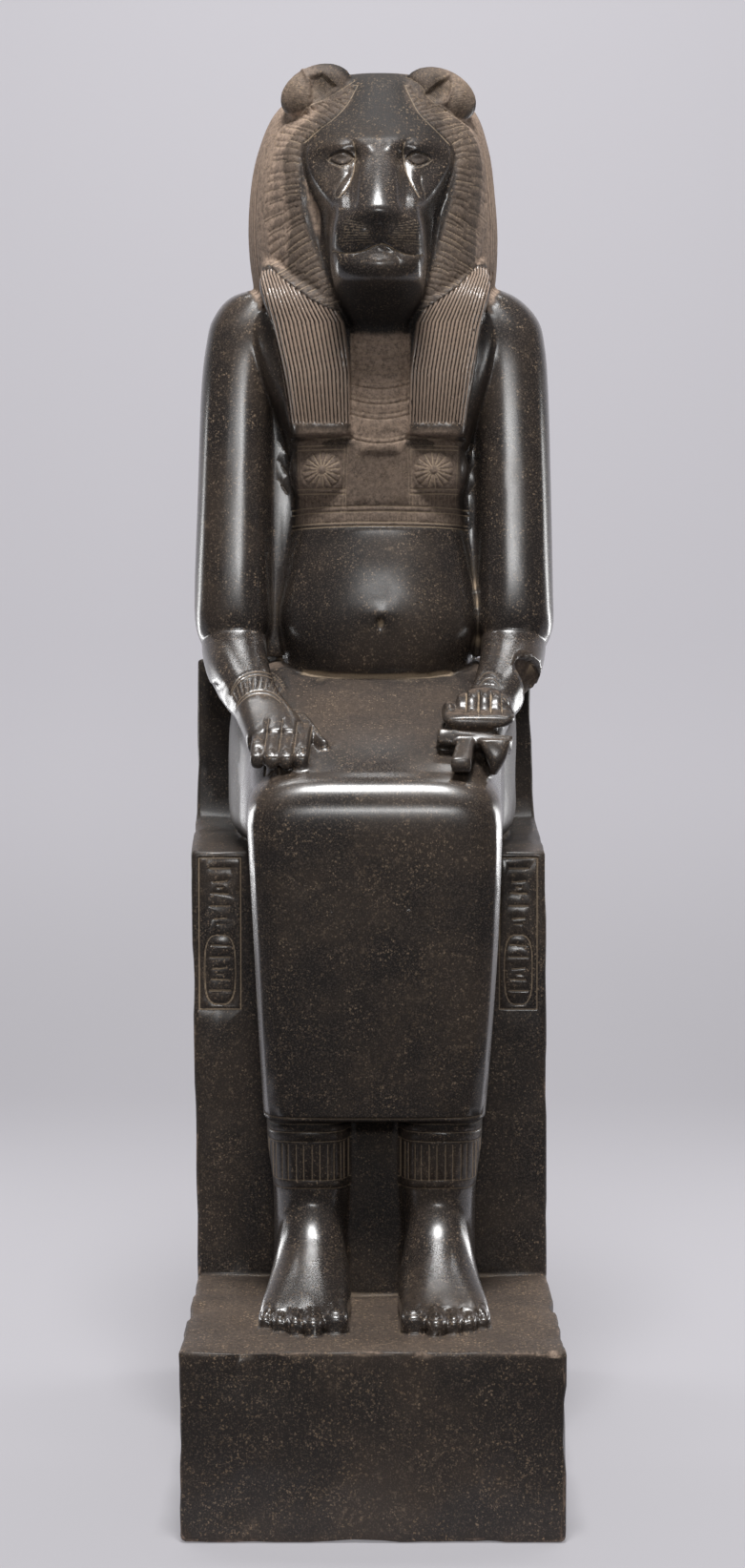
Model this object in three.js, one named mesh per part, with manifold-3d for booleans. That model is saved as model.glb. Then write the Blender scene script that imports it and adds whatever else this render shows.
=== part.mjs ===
// Seated lioness-headed goddess on a low-backed throne and block base, carved in one piece.
// Millimetres, +Z up, the figure faces -Y, the origin is the middle of the underside.
import * as THREE from "three";
import { mergeVertices } from "three/addons/utils/BufferGeometryUtils.js";
import Module from "manifold-3d";

const wasm = await Module();
wasm.setup();

// Driving sizes
const BASE_WIDTH = 532;
const BASE_HEIGHT = 267;
const FOOT_SPACE = 460; // base front to throne front
const THRONE_WIDTH = 532;
const THRONE_DEPTH = 500;
const SEAT_HEIGHT = 648; // seat edge above the base's top
const BACKREST_HEIGHT = 933; // backrest top above the base's top
const BACKREST_THICKNESS = 165;
const EDGE_WEAR = 6; // rounding of the block's edges
const FIGURE_HEIGHT = 1848; // soles to ear tips
const CARVING_DEPTH = 2.5; // depth of the incised lines
const THRONE_LEAN = 6; // how far the throne's top front edge leans to the left
const THRONE_SKEW = 8; // how much further the backrest stands to the left
const THRONE_FLARE = 6; // how much wider the throne is at the seat than at its foot

// The figure's own measures are shares of its height, written as millimetres on a figure 1848 tall.
const UNIT = FIGURE_HEIGHT / 1848;
const BASE_DEPTH = THRONE_DEPTH + FOOT_SPACE;
const THRONE_FRONT = BASE_DEPTH / 2 - THRONE_DEPTH;
const THRONE_BACK = BASE_DEPTH / 2;

// Directions of a lump's sections
const RIGHT = new THREE.Vector3(1, 0, 0);
const FRONT = new THREE.Vector3(0, -1, 0);
const UP = new THREE.Vector3(0, 0, 1);

// Turns a closed geometry into a solid, whichever way its faces were wound.
function solid(geometry) {
  const bare = new THREE.BufferGeometry();
  bare.setAttribute("position", geometry.getAttribute("position"));
  bare.setIndex(geometry.index);
  const merged = mergeVertices(bare, 0.001);
  const at = merged.attributes.position;
  const corners = Array.from(merged.index.array);
  const a = new THREE.Vector3();
  const b = new THREE.Vector3();
  const c = new THREE.Vector3();
  const kept = [];
  let volume = 0;
  for (let i = 0; i < corners.length; i += 3) {
    const [p, q, r] = corners.slice(i, i + 3);
    if (p === q || q === r || r === p) continue;
    a.fromBufferAttribute(at, p);
    b.fromBufferAttribute(at, q);
    c.fromBufferAttribute(at, r);
    volume += a.dot(b.cross(c));
    kept.push(p, q, r);
  }
  if (volume < 0) kept.reverse();
  return new wasm.Manifold(
    new wasm.Mesh({
      numProp: 3,
      vertProperties: new Float32Array(at.array),
      triVerts: new Uint32Array(kept),
    }),
  );
}

// Moves a geometry from the figure's measures to its place on the base.
function placed(geometry) {
  return geometry.scale(UNIT, UNIT, UNIT).translate(0, THRONE_FRONT, BASE_HEIGHT);
}

// The value of a row of stations at a share of the way along, on a smooth curve through them.
function along(stations, share) {
  const last = stations.length - 1;
  const at = Math.min(share * last, last - 1e-9);
  const i = Math.floor(at);
  const t = at - i;
  const before = stations[Math.max(i - 1, 0)];
  const from = stations[i];
  const to = stations[i + 1];
  const after = stations[Math.min(i + 2, last)];
  return from.map((value, k) => {
    const slopeFrom = (to[k] - before[k]) / 2;
    const slopeTo = (after[k] - value) / 2;
    const rise = to[k] - value;
    const bend = 3 * rise - 2 * slopeFrom - slopeTo;
    const twist = slopeFrom + slopeTo - 2 * rise;
    return value + t * (slopeFrom + t * (bend + t * twist));
  });
}

// A station is [x, y, z of its centre, half width, reach to the front or top, reach behind, squareness].
function skin(stations, share, angle, lift, grow = 0) {
  const [x, y, z, wide, fore, aft, power] = along(stations, share);
  const beside = Math.cos(angle);
  const ahead = Math.sin(angle);
  const size = (Math.abs(beside) ** power + Math.abs(ahead) ** power) ** (-1 / power);
  const across = beside * size * (wide + grow);
  const reach = ahead * size * ((ahead > 0 ? fore : aft) + grow);
  return new THREE.Vector3(x, y, z).addScaledVector(RIGHT, across).addScaledVector(lift, reach);
}

// A closed lump whose round sections follow the stations. Flutes pull every other front corner in.
function lump(stations, lift, around, rings, grow = 0, flute = 0) {
  const geometry = new THREE.CylinderGeometry(1, 1, 1, around, rings);
  const at = geometry.attributes.position;
  for (let i = 0; i < at.count; i++) {
    const share = at.getY(i) + 0.5;
    const radius = Math.hypot(at.getX(i), at.getZ(i));
    const angle = Math.atan2(at.getZ(i), at.getX(i));
    const step = Math.round((angle / (2 * Math.PI)) * around);
    const pulled = Math.sin(angle) > 0.2 && step % 2 === 0 ? flute : 0;
    const edge = skin(stations, share, angle, lift, grow - pulled);
    const [x, y, z] = along(stations, share);
    const centre = new THREE.Vector3(x, y, z);
    const point = radius > 0.5 ? edge : centre;
    at.setXYZ(i, point.x, point.y, point.z);
  }
  return solid(placed(geometry));
}

// The part of a lump's stations between two shares, grown outwards: a raised ring round a limb.
function ring(stations, from, to, lift, around, grow) {
  const cut = [from, to].map((share) => along(stations, share));
  return lump(cut, lift, around, 1, grow);
}

function ball(x, y, z, wide, deep, tall, across = 12, high = 8, roll = 0) {
  const geometry = new THREE.SphereGeometry(1, across, high);
  geometry.rotateX(Math.PI / 2);
  return solid(placed(geometry.scale(wide, deep, tall).rotateY(roll).translate(x, y, z)));
}

function block(x, y, z, wide, deep, tall, turn = 0, tilt = 0) {
  const geometry = new THREE.BoxGeometry(wide, deep, tall);
  geometry.rotateX(tilt).rotateZ(turn);
  return solid(placed(geometry.translate(x, y, z)));
}

function mirrored(stations, shift = 0) {
  return stations.map(([x, ...rest]) => [-x + shift, ...rest]);
}

function joined(solids) {
  return solids.reduce((sum, next) => sum.add(next));
}

// Base and throne
function slab(width, depth, height, backAt, bottomAt) {
  const shape = new THREE.Shape();
  const w = width / 2 - EDGE_WEAR;
  shape.moveTo(-w, backAt - EDGE_WEAR);
  shape.lineTo(-w, backAt - depth + EDGE_WEAR);
  shape.lineTo(w, backAt - depth + EDGE_WEAR);
  shape.lineTo(w, backAt - EDGE_WEAR);
  const geometry = new THREE.ExtrudeGeometry(shape, {
    depth: height - 2 * EDGE_WEAR,
    bevelThickness: EDGE_WEAR,
    bevelSize: EDGE_WEAR,
    bevelSegments: 2,
  });
  return solid(geometry.translate(0, 0, bottomAt + EDGE_WEAR));
}

function throneSolid() {
  const front = THRONE_FRONT + EDGE_WEAR;
  const back = THRONE_BACK - EDGE_WEAR - 1;
  const rest = THRONE_BACK - BACKREST_THICKNESS + EDGE_WEAR;
  const seat = BASE_HEIGHT + SEAT_HEIGHT - EDGE_WEAR;
  const top = BASE_HEIGHT + BACKREST_HEIGHT - EDGE_WEAR;
  const run = rest - front;
  const rise = top - seat;
  const shape = new THREE.Shape();
  shape.moveTo(front, BASE_HEIGHT - 60);
  shape.lineTo(front, seat);
  shape.lineTo(front + 0.55 * run, seat + 0.1 * rise);
  shape.bezierCurveTo(
    front + 0.8 * run,
    seat + 0.19 * rise,
    rest - 0.05 * run,
    seat + 0.4 * rise,
    rest,
    top,
  );
  shape.lineTo(back, top);
  shape.lineTo(back, BASE_HEIGHT - 60);
  const geometry = new THREE.ExtrudeGeometry(shape, {
    depth: THRONE_WIDTH - 2 * EDGE_WEAR,
    curveSegments: 7,
    bevelThickness: EDGE_WEAR,
    bevelSize: EDGE_WEAR,
    bevelSegments: 2,
  });
  geometry.translate(0, 0, EDGE_WEAR - THRONE_WIDTH / 2);
  geometry.applyMatrix4(
    new THREE.Matrix4().makeBasis(new THREE.Vector3(0, 1, 0), UP, RIGHT),
  );
  const at = geometry.attributes.position;
  for (let i = 0; i < at.count; i++) {
    const height = THREE.MathUtils.clamp((at.getZ(i) - BASE_HEIGHT) / SEAT_HEIGHT, 0, 1);
    const back = (at.getY(i) - THRONE_FRONT) / (THRONE_DEPTH - BACKREST_THICKNESS);
    const wider = 1 + (height * THRONE_FLARE) / THRONE_WIDTH;
    const left = height * (THRONE_LEAN + THRONE_SKEW * THREE.MathUtils.clamp(back, 0, 1));
    at.setX(i, at.getX(i) * wider - left);
  }
  return solid(geometry);
}

// Long dress over the shins and lap
const HEM = 270;
const SKIRT = [
  [0, 30, HEM, 164, 230, 20, 10],
  [1, 30, 380, 170, 238, 20, 12],
  [2, 30, 520, 177, 247, 20, 12],
  [1, 30, 650, 182, 254, 20, 12],
  [0, 30, 738, 183, 256, 20, 11],
  [0, 30, 752, 179, 251, 20, 9],
  [0, 30, 763, 173, 243, 20, 8],
  [0, 30, 772, 163, 232, 20, 7],
  [0, 30, 779, 145, 207, 20, 6],
];
const LAP = [
  [0, -178, 690, 150, 87, 40, 5],
  [0, -162, 692, 169, 97, 60, 5],
  [0, -120, 700, 179, 113, 66, 5],
  [0, -40, 715, 188, 137, 70, 5],
  [0, 40, 735, 210, 156, 85, 5],
  [0, 120, 755, 223, 174, 110, 5],
  [0, 200, 770, 222, 180, 125, 4],
];

// Legs below the hem and the stone left between them
const LEG = [
  [-94, -70, -20, 58, 90, 60, 3],
  [-92, -72, 70, 55, 92, 60, 3],
  [-90, -75, 160, 58, 99, 70, 3],
  [-94, -72, 225, 62, 112, 76, 3],
  [-95, -70, 285, 63, 122, 80, 3],
];
const FOOT = [
  [-90, -60, 40, 50, 60, 60, 3],
  [-90, -120, 40, 55, 100, 60, 2.8],
  [-90, -150, 40, 56, 105, 60, 2.6],
  [-90, -168, 38, 57, 92, 58, 2.5],
  [-90, -185, 34, 58, 79, 52, 2.5],
  [-91, -215, 27, 60, 63, 45, 2.6],
  [-93, -250, 19, 62, 49, 38, 2.7],
  [-97, -290, 12, 63, 34, 32, 3],
  [-99, -325, 8, 60, 21, 28, 3],
];
const TOES = [
  [-52, -330, 20, 38],
  [-83, -344, 15, 32],
  [-108, -334, 13, 30],
  [-130, -318, 12, 27],
  [-151, -298, 11, 23],
];

// Body from the seat to the shoulders
const TORSO = [
  [8, 180, 620, 150, 80, 115, 3],
  [8, 180, 880, 146, 100, 118, 3],
  [8, 180, 930, 146, 120, 120, 3],
  [9, 180, 1000, 156, 134, 118, 3],
  [9, 180, 1070, 145, 128, 110, 3],
  [10, 180, 1140, 134, 115, 105, 3],
  [10, 180, 1200, 133, 120, 112, 3],
  [9, 180, 1290, 150, 130, 122, 3],
  [5, 185, 1380, 185, 130, 120, 3],
  [2, 190, 1450, 196, 115, 105, 3],
  [2, 195, 1495, 165, 85, 85, 2.6],
  [5, 200, 1520, 110, 60, 60, 2.4],
];

// The viewer's left and right upper arm
const LEFT_ARM = [
  [-218, 178, 931, 28, 38, 34, 2.4],
  [-216, 174, 946, 44, 60, 52, 2.6],
  [-216, 172, 985, 59, 78, 64, 3],
  [-217, 174, 1050, 60, 82, 70, 3],
  [-214, 182, 1200, 58, 78, 74, 3],
  [-209, 190, 1350, 58, 78, 78, 2.8],
  [-199, 194, 1425, 60, 76, 76, 2.6],
  [-186, 196, 1466, 62, 68, 68, 2.4],
  [-160, 198, 1500, 58, 54, 54, 2.2],
  [-125, 200, 1516, 32, 30, 30, 2],
];
const RIGHT_ARM = [
  [222, 178, 931, 28, 38, 34, 2.4],
  [221, 174, 946, 44, 60, 52, 2.6],
  [221, 172, 985, 60, 78, 64, 3],
  [221, 174, 1050, 60, 82, 70, 3],
  [219, 182, 1200, 59, 78, 74, 3],
  [214, 190, 1350, 60, 78, 78, 2.8],
  [206, 194, 1425, 62, 76, 76, 2.6],
  [191, 196, 1466, 65, 68, 68, 2.4],
  [160, 198, 1501, 60, 54, 54, 2.2],
  [130, 200, 1520, 32, 30, 30, 2],
];
const FOREARM = [
  [-217, 200, 985, 50, 40, 48, 2.6],
  [-214, 130, 955, 50, 44, 50, 2.6],
  [-204, 60, 922, 46, 38, 44, 2.6],
  [-186, 0, 890, 40, 31, 38, 2.6],
  [-172, -30, 872, 38, 27, 36, 2.6],
  [-152, -75, 846, 43, 20, 34, 2.8],
  [-139, -120, 820, 44, 18, 30, 3],
];
const FINGERS = [
  [-167, -169],
  [-146, -178],
  [-125, -180],
  [-104, -173],
];
const GRIP = [134, 153, 172, 191];

// Head, mane, wig and ears
const WIG = [
  [2, 250, 1262, 120, 40, 62, 2.6],
  [2, 240, 1320, 140, 60, 84, 2.6],
  [3, 220, 1420, 164, 124, 112, 2.6],
  [3, 210, 1500, 186, 142, 128, 2.6],
  [1, 205, 1580, 194, 148, 138, 2.6],
  [0, 205, 1660, 190, 148, 138, 2.6],
  [2, 205, 1725, 179, 138, 130, 2.5],
  [5, 203, 1784, 154, 116, 106, 2.4],
  [8, 201, 1818, 104, 84, 78, 2.3],
  [10, 197, 1837, 44, 42, 40, 2.2],
];

// Rows of the face from chin to crown: centre x, height, then pairs of distance from the middle line and y.
const FACE = [
  [12, 1436, 0, 42, 14, 43, 28, 47, 38, 56, 44, 70, 50, 82, 58, 86, 70, 86, 84, 92, 98, 106, 108, 130],
  [12, 1452, 0, 22, 16, 23, 32, 28, 43, 40, 49, 58, 56, 68, 66, 66, 78, 64, 92, 72, 108, 92, 118, 128],
  [12, 1470, 0, -6, 18, -5, 36, 2, 49, 18, 56, 40, 62, 56, 70, 56, 82, 54, 98, 64, 116, 88, 128, 125],
  [11, 1488, 0, -32, 20, -31, 40, -22, 54, -4, 62, 22, 67, 46, 74, 50, 86, 50, 104, 60, 124, 84, 138, 122],
  [10, 1504, 0, -50, 20, -48, 42, -38, 58, -18, 66, 12, 70, 42, 77, 50, 90, 49, 110, 58, 132, 80, 146, 120],
  [9, 1522, 0, -56, 20, -54, 42, -45, 60, -26, 69, 6, 72, 38, 80, 51, 94, 50, 116, 58, 138, 78, 154, 118],
  [9, 1540, 0, -50, 20, -52, 42, -46, 61, -28, 70, 4, 73, 36, 82, 52, 97, 51, 120, 60, 142, 80, 158, 116],
  [8, 1558, 0, -54, 18, -60, 42, -56, 62, -34, 70, 0, 74, 34, 84, 53, 100, 53, 124, 62, 146, 82, 162, 115],
  [8, 1578, 0, -62, 20, -64, 42, -60, 61, -40, 70, -4, 74, 32, 86, 54, 103, 54, 127, 63, 149, 84, 164, 115],
  [8, 1594, 0, -71, 25, -67, 40, -56, 60, -38, 69, -4, 74, 32, 88, 55, 106, 55, 129, 64, 151, 86, 166, 115],
  [8, 1606, 0, -70, 25, -63, 38, -46, 58, -33, 68, -4, 75, 32, 90, 56, 109, 55, 131, 64, 153, 86, 166, 115],
  [8, 1622, 0, -60, 26, -50, 38, -26, 56, -16, 73, 4, 81, 34, 94, 56, 112, 56, 132, 64, 153, 86, 165, 124],
  [8, 1640, 0, -47, 26, -36, 38, -10, 58, 0, 84, 18, 92, 40, 101, 56, 115, 56, 133, 64, 154, 86, 165, 124],
  [8, 1662, 0, -29, 25, -18, 37, 6, 60, 14, 95, 31, 102, 48, 109, 60, 118, 58, 134, 66, 154, 87, 165, 124],
  [9, 1686, 0, -8, 24, 2, 35, 22, 62, 26, 103, 44, 110, 57, 116, 64, 122, 62, 136, 69, 153, 90, 164, 126],
  [9, 1704, 0, 9, 25, 13, 38, 21, 64, 24, 101, 46, 110, 59, 117, 66, 124, 66, 137, 73, 152, 94, 161, 130],
  [10, 1722, 0, 22, 24, 22, 42, 24, 66, 32, 92, 50, 104, 60, 112, 66, 121, 70, 134, 79, 147, 98, 156, 132],
  [10, 1745, 0, 35, 22, 36, 42, 40, 64, 48, 80, 56, 92, 63, 103, 69, 114, 77, 126, 88, 137, 103, 146, 124],
  [11, 1768, 0, 48, 20, 49, 38, 54, 54, 62, 66, 68, 78, 74, 89, 81, 100, 90, 110, 100, 119, 112, 126, 128],
  [11, 1792, 0, 64, 16, 65, 32, 70, 46, 77, 58, 83, 68, 89, 78, 96, 88, 104, 96, 112, 103, 121, 108, 134],
  [11, 1814, 0, 82, 14, 83, 28, 88, 40, 94, 50, 100, 60, 106, 68, 112, 76, 119, 82, 126, 87, 133, 90, 142],
  [11, 1830, 0, 116, 10, 117, 20, 119, 30, 122, 38, 126, 45, 130, 51, 134, 56, 138, 60, 142, 63, 146, 65, 150],
  [11, 1836, 0, 148, 8, 148, 16, 149, 22, 150, 28, 151, 33, 152, 37, 153, 40, 154, 43, 155, 45, 156, 46, 157],
];
const LEFT_LAPPET = [
  [-76, 80, 1275, 45, 40, 20, 5],
  [-79, 78, 1330, 48, 45, 20, 5],
  [-84, 78, 1380, 52, 46, 20, 5],
  [-94, 84, 1440, 57, 46, 24, 4],
  [-112, 100, 1500, 60, 46, 30, 3.4],
  [-120, 132, 1562, 50, 40, 30, 3],
];
const RIGHT_LAPPET = [
  [96, 80, 1275, 44, 40, 20, 5],
  [99, 78, 1330, 48, 45, 20, 5],
  [104, 78, 1380, 52, 46, 20, 5],
  [110, 84, 1440, 55, 46, 24, 4],
  [122, 100, 1500, 58, 46, 30, 3.4],
  [126, 132, 1562, 50, 40, 30, 3],
];

function footSolid(side, shift) {
  const flip = (stations) => (side < 0 ? stations : mirrored(stations, shift));
  const toes = flip(TOES).map(([x, y, wide, tall]) =>
    ball(x, y, tall / 2 - 2, wide * 0.92, 40, tall / 2 + 3, 6, 4),
  );
  return joined([lump(flip(LEG), FRONT, 12, 4), lump(flip(FOOT), UP, 10, 6), ...toes]);
}

// Raised band of the anklet with its upright bars
function ankletSolid(side, shift) {
  const leg = side < 0 ? LEG : mirrored(LEG, shift);
  const bars = [];
  for (let i = 0; i < 7; i++) {
    const angle = 0.25 + (i / 6) * (Math.PI - 0.5);
    const low = skin(leg, 0.58, angle, FRONT);
    const high = skin(leg, 0.79, angle, FRONT);
    const turn = 0.9 * (angle - Math.PI / 2);
    const lean = Math.atan2(high.y - low.y, high.z - low.z);
    bars.push(
      block((low.x + high.x) / 2, (low.y + high.y) / 2, (low.z + high.z) / 2, 8, 7, 54, -turn, -lean),
    );
  }
  return joined([ring(leg, 0.52, 0.915, FRONT, 12, 1.5), ...bars]);
}

function armSolid(upper, lower) {
  return joined([lump(upper, FRONT, 12, 10), lump(lower, UP, 10, 6)]);
}

function openHand() {
  const fingers = FINGERS.map(([x, tip]) => {
    const stations = [
      [x + 4, -95, 836, 11, 9, 16, 3],
      [x + 1, -138, 816, 11, 9, 18, 3],
      [x, tip + 10, 801, 10.6, 9, 18, 3],
      [x, tip, 794, 8, 6, 10, 2.4],
    ];
    return lump(stations, UP, 8, 3);
  });
  const thumb = [
    [-118, -55, 858, 14, 14, 20, 2.6],
    [-94, -85, 840, 12, 12, 20, 2.6],
    [-78, -112, 822, 10, 10, 16, 2.4],
    [-72, -124, 814, 5, 6, 10, 2.2],
  ];
  return joined([lump(thumb, UP, 8, 3), ...fingers]);
}

// The closed hand and the looped cross lying under it
function fistSolid() {
  const fingers = GRIP.map((x, i) => ball(x, -76 + 3 * Math.abs(i - 1.5), 872 - 2 * i, 10, 24, 25, 8, 4));
  const palm = ball(164, -50, 868, 43, 42, 29, 8, 5);
  const thumb = ball(113, -74, 862, 11, 26, 15, 8, 4);
  const loop = block(156, -92, 855, 104, 66, 16, 0, 0.12);
  const bar = block(149, -134, 820, 110, 26, 23, 0.04, -0.3);
  const stem = block(132, -166, 802, 27, 78, 26, 0.14, 0.4);
  const wedge = block(179, -150, 798, 32, 34, 44, -0.2, 0.2);
  return joined([palm, thumb, loop, bar, stem, wedge, ...fingers]);
}

function braceletSolid() {
  return joined([
    ring(FOREARM, 0.55, 0.58, UP, 10, 2),
    ring(FOREARM, 0.72, 0.75, UP, 10, 2),
  ]);
}

function earSolid(x, z, side) {
  const lean = -side * 0.61;
  const shell = ball(x, 108, z, 62, 25, 35, 12, 7, -lean);
  const hollow = ball(x - side * 8, 83, z + 6, 26, 12, 22, 8, 5, -lean);
  return shell.subtract(hollow);
}

// The face from chin to crown and the mane at its sides, where every other ring is a raised tuft
function faceSolid(rings) {
  const front = FACE[0].length - 4;
  const around = front + 2;
  const geometry = new THREE.CylinderGeometry(1, 1, 1, around, rings);
  const at = geometry.attributes.position;
  for (let i = 0; i < at.count; i++) {
    const [middle, z, ...pairs] = along(FACE, at.getY(i) + 0.5);
    const turn = Math.atan2(at.getX(i), at.getZ(i)) / (2 * Math.PI);
    const step = Math.round(((turn + 1) % 1) * around);
    const column = Math.min(step, front) - front / 2;
    const off = pairs[2 * Math.abs(column)];
    const ring = Math.round((at.getY(i) + 0.5) * rings);
    const mane = Math.abs(column) > 6 && Math.abs(column) < 10 && z > 1460 && z < 1790;
    const tuft = mane && ring % 2 === 1 ? 5 : 0;
    let point = [middle + Math.sign(column) * off, pairs[2 * Math.abs(column) + 1] - tuft, z];
    if (step > front) point = [middle, 190, z];
    if (Math.hypot(at.getX(i), at.getZ(i)) < 0.5) point = [middle, 150, z];
    at.setXYZ(i, ...point);
  }
  return solid(placed(geometry));
}

function eyeSolid(x) {
  return ball(x, 26, 1692, 17, 12, 8, 8, 5);
}

// Broad collar between the lappets: rows that step forward towards the neck
function collarSolid() {
  const rows = [1262, 1292, 1322, 1350, 1385];
  const geometry = new THREE.CylinderGeometry(1, 1, 1, 16, 2 * rows.length - 1);
  const at = geometry.attributes.position;
  for (let i = 0; i < at.count; i++) {
    const step = Math.round((0.5 - at.getY(i)) * (2 * rows.length - 1));
    const row = Math.floor(step / 2);
    const drop = 1460 - rows[row];
    const y = 47 - 2.2 * (row + (step % 2)) + (step === 0 ? 20 : 0);
    at.setXYZ(i, 11 + at.getX(i) * (58 - 1.5 * row), y, 1460 + at.getZ(i) * drop);
  }
  return solid(placed(geometry));
}

// Flower on each shoulder strap, its petals alternate ridges of a low disc
function rosetteSolid(x) {
  const geometry = new THREE.CylinderGeometry(1, 1, 1, 24, 1);
  const at = geometry.attributes.position;
  for (let i = 0; i < at.count; i++) {
    const radius = Math.hypot(at.getX(i), at.getZ(i));
    const angle = Math.atan2(at.getZ(i), at.getX(i));
    const step = Math.round((angle / (2 * Math.PI)) * 24);
    const reach = radius > 0.5 ? 31 - 5 * (step % 2) : 0;
    const y = 55 + 11 * (reach / 31) ** 2 - 10 * at.getY(i);
    at.setXYZ(i, x + reach * Math.cos(angle), y, 1224 + reach * Math.sin(angle));
  }
  return solid(placed(geometry));
}

function beltSolid() {
  const share = (height) => (4 + (height - 1070) / 70) / 11;
  return ring(TORSO, share(1140), share(1169), FRONT, 20, 2);
}

// Incised panel on the throne's front: a frame, an oval ring and rows of plain strokes
function panelCut(x, wide) {
  const deep = 2 * CARVING_DEPTH;
  const top = 640;
  const low = 412;
  const mid = (top + low) / 2;
  const line = 3;
  const cuts = [
    block(x - wide / 2, 0, mid, line, deep, top - low + line),
    block(x + wide / 2, 0, mid, line, deep, top - low + line),
    block(x, 0, top, wide, deep, line),
    block(x, 0, low, wide, deep, line),
  ];
  for (let row = 0; row < 9; row++) {
    const z = top - 20 - row * 24;
    const span = wide * (row % 2 === 0 ? 0.5 : 0.34);
    cuts.push(block(x + (row % 3) - 1, 0, z, span, deep, 4));
  }
  return joined(cuts);
}

// Old breaks in the stone
function chip(x, y, z, size, squash = 1) {
  const geometry = new THREE.DodecahedronGeometry(size);
  return solid(placed(geometry.scale(1, 1, squash).rotateZ(0.4).translate(x, y, z)));
}

const figure = joined([
  lump(SKIRT, FRONT, 20, 7),
  lump(LAP, UP, 20, 6),
  block(3, -48, 135, 240, 156, 280),
  footSolid(-1, 0),
  footSolid(1, 6),
  ankletSolid(-1, 0),
  ankletSolid(1, 6),
  lump(TORSO, FRONT, 18, 9),
  ball(-70, 106, 1226, 58, 54, 62, 10, 6),
  ball(90, 106, 1226, 58, 54, 62, 10, 6),
  beltSolid(),
  rosetteSolid(-77),
  rosetteSolid(93),
  collarSolid(),
  block(-160, 190, 1180, 120, 90, 480),
  block(166, 190, 1180, 120, 90, 480),
  armSolid(LEFT_ARM, FOREARM),
  armSolid(RIGHT_ARM, mirrored(FOREARM, 4)),
  openHand(),
  fistSolid(),
  braceletSolid(),
  lump(WIG, FRONT, 20, 8),
  faceSolid(33),
  lump(LEFT_LAPPET, FRONT, 36, 3, 0, 2.5),
  lump(RIGHT_LAPPET, FRONT, 36, 3, 0, 2.5),
  earSolid(-85, 1799, -1),
  earSolid(103, 1794, 1),
  eyeSolid(-46),
  eyeSolid(68),
]);

const statue = slab(BASE_WIDTH, BASE_DEPTH, BASE_HEIGHT, THRONE_BACK, 0)
  .add(throneSolid())
  .add(figure)
  .subtract(panelCut(-222, 60))
  .subtract(panelCut(222, 60))
  .subtract(chip(262, 30, 905, 30, 1.2));

// The outer skin of a solid, with the pockets that its lumps closed between them filled.
function filled(made) {
  return made.decompose().reduce((most, next) => (next.volume() > most.volume() ? next : most));
}

function meshOf(made) {
  const cut = filled(made).getMesh();
  const corners = new Float32Array(cut.numVert * 3);
  for (let i = 0; i < cut.numVert; i++) {
    corners.set(cut.vertProperties.subarray(i * cut.numProp, i * cut.numProp + 3), i * 3);
  }
  const geometry = new THREE.BufferGeometry();
  geometry.setAttribute("position", new THREE.BufferAttribute(corners, 3));
  geometry.setIndex(new THREE.BufferAttribute(cut.triVerts, 1));
  geometry.computeVertexNormals();
  const stone = new THREE.MeshStandardMaterial({ color: 0x2b2724, roughness: 0.45, metalness: 0 });
  const mesh = new THREE.Mesh(geometry, stone);
  mesh.name = "seated_statue";
  return mesh;
}

const part = new THREE.Group();
part.add(meshOf(statue));
export default part;
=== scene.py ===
"""Looks of a seated lioness-headed goddess, a statue carved in one piece of dark polished granodiorite.

Figure measures are millimetres on a figure 1848 tall: x to the right, y back from the throne's front,
z up from the top of the base. The figure faces -y.
"""

import logging
import math
from dataclasses import dataclass
from enum import Enum
from typing import Callable, Iterable, Protocol, Sequence

import bmesh
import bpy
import numpy as np
from mathutils import Matrix, Vector


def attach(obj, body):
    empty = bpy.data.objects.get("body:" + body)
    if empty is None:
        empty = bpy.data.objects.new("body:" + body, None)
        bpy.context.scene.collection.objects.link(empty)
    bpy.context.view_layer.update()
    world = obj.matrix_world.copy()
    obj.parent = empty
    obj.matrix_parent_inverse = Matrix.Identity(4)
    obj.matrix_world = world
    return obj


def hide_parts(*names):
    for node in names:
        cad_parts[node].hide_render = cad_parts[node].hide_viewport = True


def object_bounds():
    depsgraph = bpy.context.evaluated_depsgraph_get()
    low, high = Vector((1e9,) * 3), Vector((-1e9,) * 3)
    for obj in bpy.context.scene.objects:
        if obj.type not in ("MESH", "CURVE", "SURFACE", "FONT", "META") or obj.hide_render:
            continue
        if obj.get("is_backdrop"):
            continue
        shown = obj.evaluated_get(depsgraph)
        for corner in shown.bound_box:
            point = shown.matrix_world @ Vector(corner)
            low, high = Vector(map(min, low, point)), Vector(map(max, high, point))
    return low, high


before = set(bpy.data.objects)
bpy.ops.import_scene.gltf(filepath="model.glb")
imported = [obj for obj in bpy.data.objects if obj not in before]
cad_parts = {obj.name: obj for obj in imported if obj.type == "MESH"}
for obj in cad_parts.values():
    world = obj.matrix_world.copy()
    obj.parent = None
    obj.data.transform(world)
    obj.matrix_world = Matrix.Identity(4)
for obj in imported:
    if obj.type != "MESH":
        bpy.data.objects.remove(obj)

log = logging.getLogger("statue")

Station = tuple[float, ...]
Point = tuple[float, float]
Span = tuple[float, float]
Array = np.ndarray

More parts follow.
